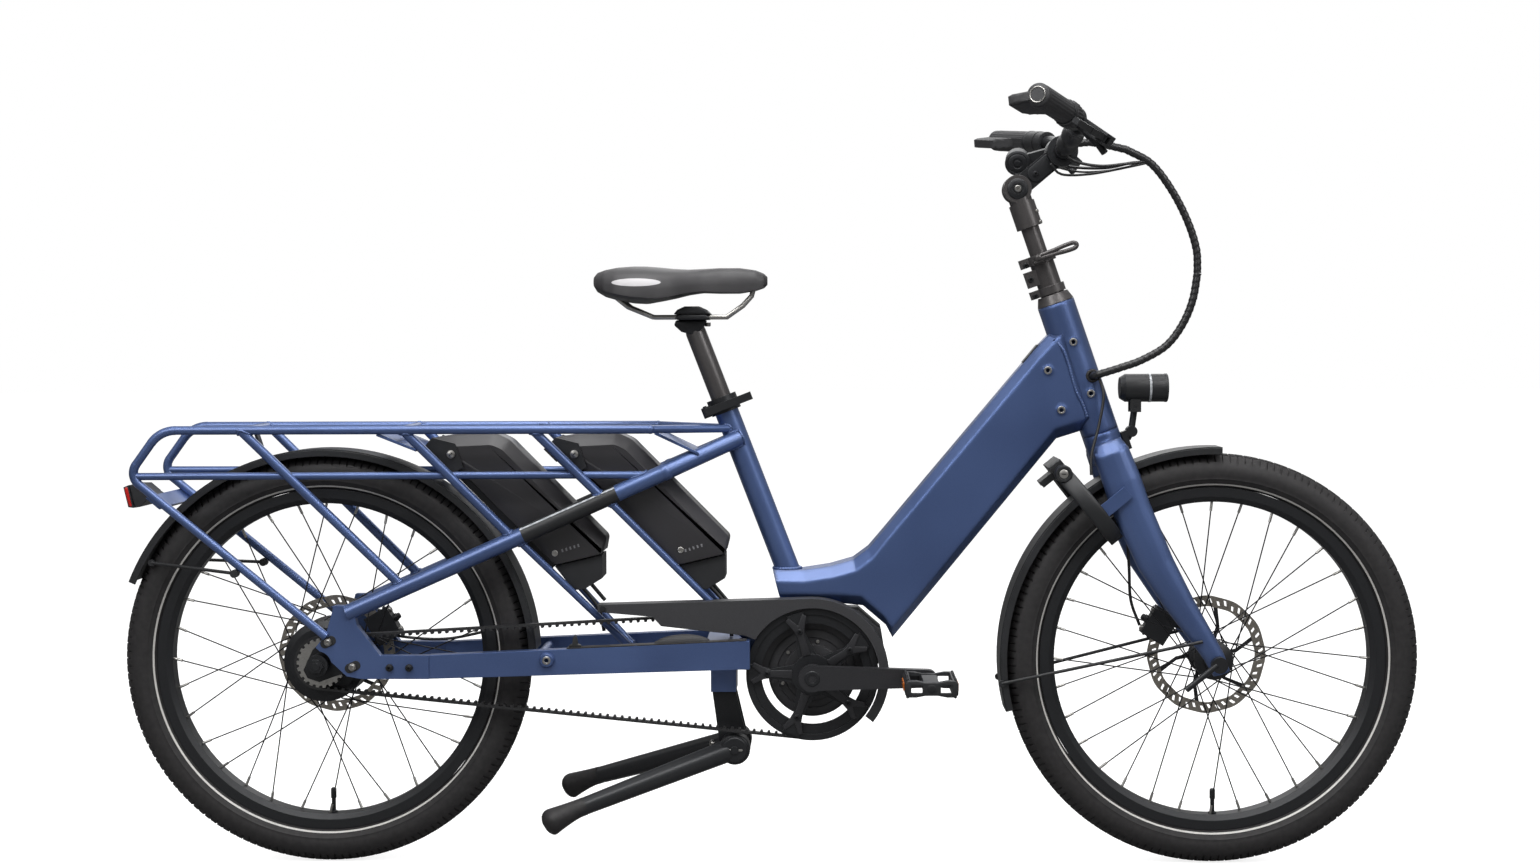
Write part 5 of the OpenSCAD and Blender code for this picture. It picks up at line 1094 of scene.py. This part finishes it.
# Guards on the frame: a black plastic film with a pale line along it.
# It is glued round each main stay, where a bag would rub.
film_r = 12.75
for side, label in ((-1, "right"), (1, "left")):
    film = hose(label + "_stay_film", [on_stay(x, side) for x in (-361, -291, -221)], film_r, 20, 48)
    film.data.materials.append(moulded_black)
    film.data.materials.append(lens_clear)
    for face in film.data.polygons:
        over = face.normal.z / max(1e-6, math.hypot(face.normal.y, face.normal.z))
        face.material_index = int(side * face.normal.y > 0 and 0.66 < over < 0.78)
    fit(film, "frame", moulded_black, 40)


# Port and covers: a rubber grommet is pressed into the head tube where the bundle enters it,
# and a rubber dome on the chainstay covers the sensor.
grommet = [(6.4, -2), (10, -2), (10, 1.2), (8.6, 2.6), (6.6, 2.8), (6.4, -2)]
fit(lathe("port_grommet", grommet, (484.7, -27, 733.6), NEAR, 32), "frame", tyre_rubber)

dome_x, dome_y, dome_z = -166, -72, 341
dome_length, dome_half, dome_rise, dome_slope = 81, 8.6, 13, 3.6
dome_steps, dome_sides = 20, 24


def dome_spot(i, j):
    share, turn = i / dome_steps, 2 * math.pi * j / dome_sides
    wide = math.sin(math.pi * min(max(share, 0.02), 0.98)) ** 0.45
    rise = (share - 0.5) * dome_slope + max(-0.8, dome_rise * wide * math.sin(turn))
    return (dome_x + dome_length * share, dome_y + dome_half * wide * math.cos(turn), dome_z + rise)


fit(wrap("sensor_cover", dome_steps, dome_sides, dome_spot), "frame", grip_rubber, 60)


# Stem: a sliding post with a forged link hinged on top, the post and its clamp hard-anodised to a dark grey.
# A bright bolt is the hinge's axle and a black one clamps it; a looped lever on the collar frees the post.
dress(post_grey, "stem_post", "stem_clamp")
hinge, along_arm, over_arm = Vector((374.1, 0, 1011.8)), Vector((0.766, 0, 0.643)), Vector((-0.643, 0, 0.766))
washer = [(0, -0.5), (15.5, -0.5), (15.5, 1.2), (14, 2.2), (8, 2.2), (7.4, 1.6), (0, 1.6)]
fit(lathe("hinge_washer", washer, hinge + Vector((0, -18, 0)), NEAR, 48), "stem", black_anodised)
screw("hinge_bolt", hinge + Vector((0, -19.4, 0)), NEAR, 5.2, "stem", bright_steel)
cheek_r, cheek = 12.6, []
for turn in (2 * math.pi * k / 24 for k in range(24)):
    middle = hinge + along_arm * (62 if math.cos(turn) > 0 else 36)
    spot = middle + (along_arm * math.cos(turn) + over_arm * math.sin(turn)) * cheek_r
    cheek.append((spot.x, spot.z))
fit(slab("arm_cheek", cheek, -13, -10.3, 0.8), "bar", black_anodised)
screw("arm_bolt", hinge + along_arm * 35 + Vector((0, -13, 0)), NEAR, 4, "bar")

strand = ((651.2, -2), (650.4, 20), (649.2, 34), (649, 48), (650.6, 52.4), (653.3, 54), (656, 52.4),
    (657.6, 48), (657.4, 34), (656.2, 20), (655.4, -2))
loop = hose("stem_lever_loop", [on_steer(s, x, -33.6) for s, x in strand], 3.3, 2, 16)
fit(loop, "stem_lever", post_grey, 60)
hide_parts("stem_lever")
eye = [(3.1, 0), (6.6, 0), (7, 0.6), (7, 7.4), (6.6, 8), (3.1, 8), (3.1, 0)]
fit(lathe("stem_lever_eye", eye, on_steer(649.3, -6, -31), steer_up, 32), "stem_lever", post_grey)


# Bar controls: the switch housing sits inboard of the right grip, the brake masters hang ahead of the bar
# and the bell is a turned dome with a ringed face. Each is clamped round the bar.
def housing(run, turn):
    """The housing is waisted between its clamp and its switch."""
    return 15.6 + 1.7 * math.cos(2 * math.pi * run / 40) + 0.9 * math.cos(2 * turn)


def master_body(run, turn):
    """A master is stepped twice towards its hose."""
    return 8.6 - 2.2 * (run > 38) - 1.2 * (run > 24)


line = ((441.4, -76, 1073), (443, -100, 1079), (445.5, -128, 1086), (447.6, -150, 1091.6))
fit(hose("switch_housing", line, housing, 2, 28), "bar", moulded_black, 50)
for side, label in ((-1, "right"), (1, "left")):
    line = ((446, side * 197, 1090), (458, side * 194, 1078), (470, side * 190, 1064),
        (481, side * 186, 1050))
    fit(hose(label + "_master", line, master_body, 1.5, 20), "bar", black_anodised, 40)
bell = [(19, -1), (19.4, 0), (18.6, 1.6), (16, 2.6), (14.6, 2), (13, 3), (8, 3.4), (7.2, 2.6), (5, 2.6),
    (4.4, 3.6), (0, 3.8)]
bell_place, bell_axis = (383.2, 86.2, 1057.7), (-0.1, -0.96, -0.25)
fit(lathe("bell_face", bell, bell_place, bell_axis, 56), "bar", black_anodised)


# Stand: two forged legs on one axle under the motor, ribbed along their outer faces, with wide rubber shoes.
# Each leg is drawn out of its pivot eye and thins towards the shoe.
def leg_body(run, turn):
    """A leg's section is a soft oval with ribs, and it tapers."""
    return (17 - 0.017 * run) * (1 + 0.07 * math.cos(2 * turn) + 0.03 * math.cos(6 * turn))


stand_x, stand_z = -49, 178
shoe_start, shoe_length, shoe_steps, shoe_sides = -60, 66, 26, 32
eye = [(6.1, 0), (21, 0), (23, 2), (23, 29), (20, 31.6), (12, 31.6), (11, 29.6), (6.1, 29.6), (6.1, 0)]
for side, label in ((-1, "right"), (1, "left")):
    top, foot = Vector((stand_x, side * 36, stand_z)), Vector((-321, side * 135, 89))
    line = [top + (foot - top) * t for t in (0.03, 0.2, 0.4, 0.6, 0.8, 0.97)]
    leg = hose(label + "_stand_leg", line, leg_body, 6, 36)
    fit(leg, "stand", black_anodised, 60)
    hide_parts("stand_legs")
    fit(lathe(label + "_stand_eye", eye, (stand_x, side * 20.4, stand_z), (0, side, 0), 48), "stand",
        black_anodised)
    away = (foot - top).normalized()
    level = away.cross(Vector((0, 0, 1))).normalized()
    high = level.cross(away)

    def shoe_spot(i, j):
        run, turn = shoe_start + shoe_length * i / shoe_steps, 2 * math.pi * j / shoe_sides
        flare = max(0.0, min(1.0, (run + 52) / 44)) ** 1.4
        tip = math.sqrt(max(0.02, 1 - max(0.0, (run + 8) / 14.2) ** 2))
        wide, tall = 13.4 + 7.6 * flare, 13.4 + (1.5 if math.sin(turn) > 0 else 10.5) * flare
        return foot + away * run + (level * wide * math.cos(turn) + high * tall * math.sin(turn)) * tip

    fit(wrap(label + "_stand_shoe", shoe_steps, shoe_sides, shoe_spot), "stand", tyre_rubber,
        50)
brace = [(0, -40), (5, -40), (6, -39), (6, 39), (5, 40), (0, 40)]
fit(lathe("stand_brace", brace, (-81, 0, 167.4), (0, 1, 0), 24), "stand", black_anodised)
cap = [(0, -0.5), (19, -0.5), (19, 1.6), (17.4, 3), (0, 3)]
fit(lathe("stand_axle_cap", cap, (stand_x, -52.4, stand_z), NEAR, 48), "stand", black_anodised)
cut = [(-60, 176.4), (-38, 176.4), (-36.6, 178), (-38, 179.6), (-60, 179.6), (-61.4, 178)]
fit(slab("stand_axle_slot", cut, -55.9, -55.1), "stand", bright_steel)
screw("stand_spring_bolt", (-83, -30, 184), (-1, -0.4, 0.2), 5, "stand", bright_steel)


# Ring lock: a C-shaped steel casing round the front wheel, covered with half-round nylon shells.
# Its straps are lacquered with the fork, and the key goes into a round barrel at the top of the right arm.
lock_middle = Vector((477.2, 0, 541.6))
lock_out, lock_along = Vector((-0.6293, 0, 0.7771)), Vector((0.7771, 0, 0.6293))
shell_r, shell_rise, shell_half, shell_top, shell_sweep = 79.4, 3.4, 12.4, 62, 118
shell_steps, shell_sides = 40, 24
repaint("ring_lock", frame_lacquer,
    lambda x, y, z: abs(y) > 60 and (Vector((x, 0, z)) - lock_middle).dot(lock_along) > 12)
for side, label in ((-1, "right"), (1, "left")):

    def shell_spot(i, j):
        share, turn = i / shell_steps, 2 * math.pi * j / shell_sides
        lean = math.radians(shell_top - shell_sweep * share)
        end = math.sqrt(max(0.03, 1 - abs(2 * share - 1) ** 12))
        reach, across = shell_r + shell_rise * end * math.cos(turn), shell_half * end * math.sin(turn)
        return (lock_middle + lock_out * reach * math.sin(lean) + lock_along * across
            + Vector((0, side * reach * math.cos(lean), 0)))

    fit(wrap(label + "_lock_shell", shell_steps, shell_sides, shell_spot), "steering", moulded_black,
        60)
key_place = lock_middle + lock_out * 62 + Vector((0, -52, 0))
barrel = [(0, -6), (13, -6), (13, 12), (11.6, 15), (8.4, 15), (7.8, 13.6), (0, 13.6)]
fit(lathe("lock_barrel", barrel, key_place, NEAR, 40), "steering", moulded_black)
key_face = [(0, 13.4), (6.6, 13.4), (6.6, 14.2), (6, 14.6), (0, 14.6)]
fit(lathe("lock_key_face", key_face, key_place, NEAR, 32), "steering", bright_steel)
# The keyhole is a thin black sheet on the key face, painted shade for the slot.
key_slot_shade = [(key_place.x + x, key_place.z + z) for x, z in ((-3.4, -0.7), (3.4, -0.7), (3.4, 0.7), (-3.4, 0.7))]
fit(slab("ring_lock_keyhole_shade", key_slot_shade, -67.1, -66.5), "steering", moulded_black)


# Brake calipers: forged halves bolted together over the disc, with a banjo for the hose and cooling fins.
# Two bright bolts hold each on its mount.
banjo = [(0, -2), (6, -2), (6, 5), (4.6, 6), (4.6, 9), (3.4, 10), (0, 10)]
for end, body, angle, mid, fin_line in (
    ("front", "steering", 148, 37.5, (41, 44, 47)),
    ("rear", "frame", 30, 55.6, (57, 62, 67)),
):
    out = Vector((math.cos(math.radians(angle)), 0, math.sin(math.radians(angle))))
    along = Vector((-out.z, 0, out.x))
    centre = AXLE[end] + Vector((0, mid, 0))
    back = centre + out * 104
    for k, s in enumerate((-17, 17)):
        screw(f"{end}_caliper_bolt_{k + 1}", back + along * s, out, 4.6, body, bright_steel)
    fit(lathe(end + "_banjo", banjo, back + along * 2, out, 24), body, black_anodised)
    for k in range(4):
        root = centre + out * (72 + 8 * k) + along * (24.2 + 0.1 * k)
        fin = [root + Vector((0, y - mid, 0)) for y in fin_line]
        fit(hose(f"{end}_caliper_fin_{k + 1}", fin, 1.6, 3, 12), body, black_anodised, 60)


size = {"cad": [list(corner) for corner in cad_box], "visual": [list(corner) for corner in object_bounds()]}
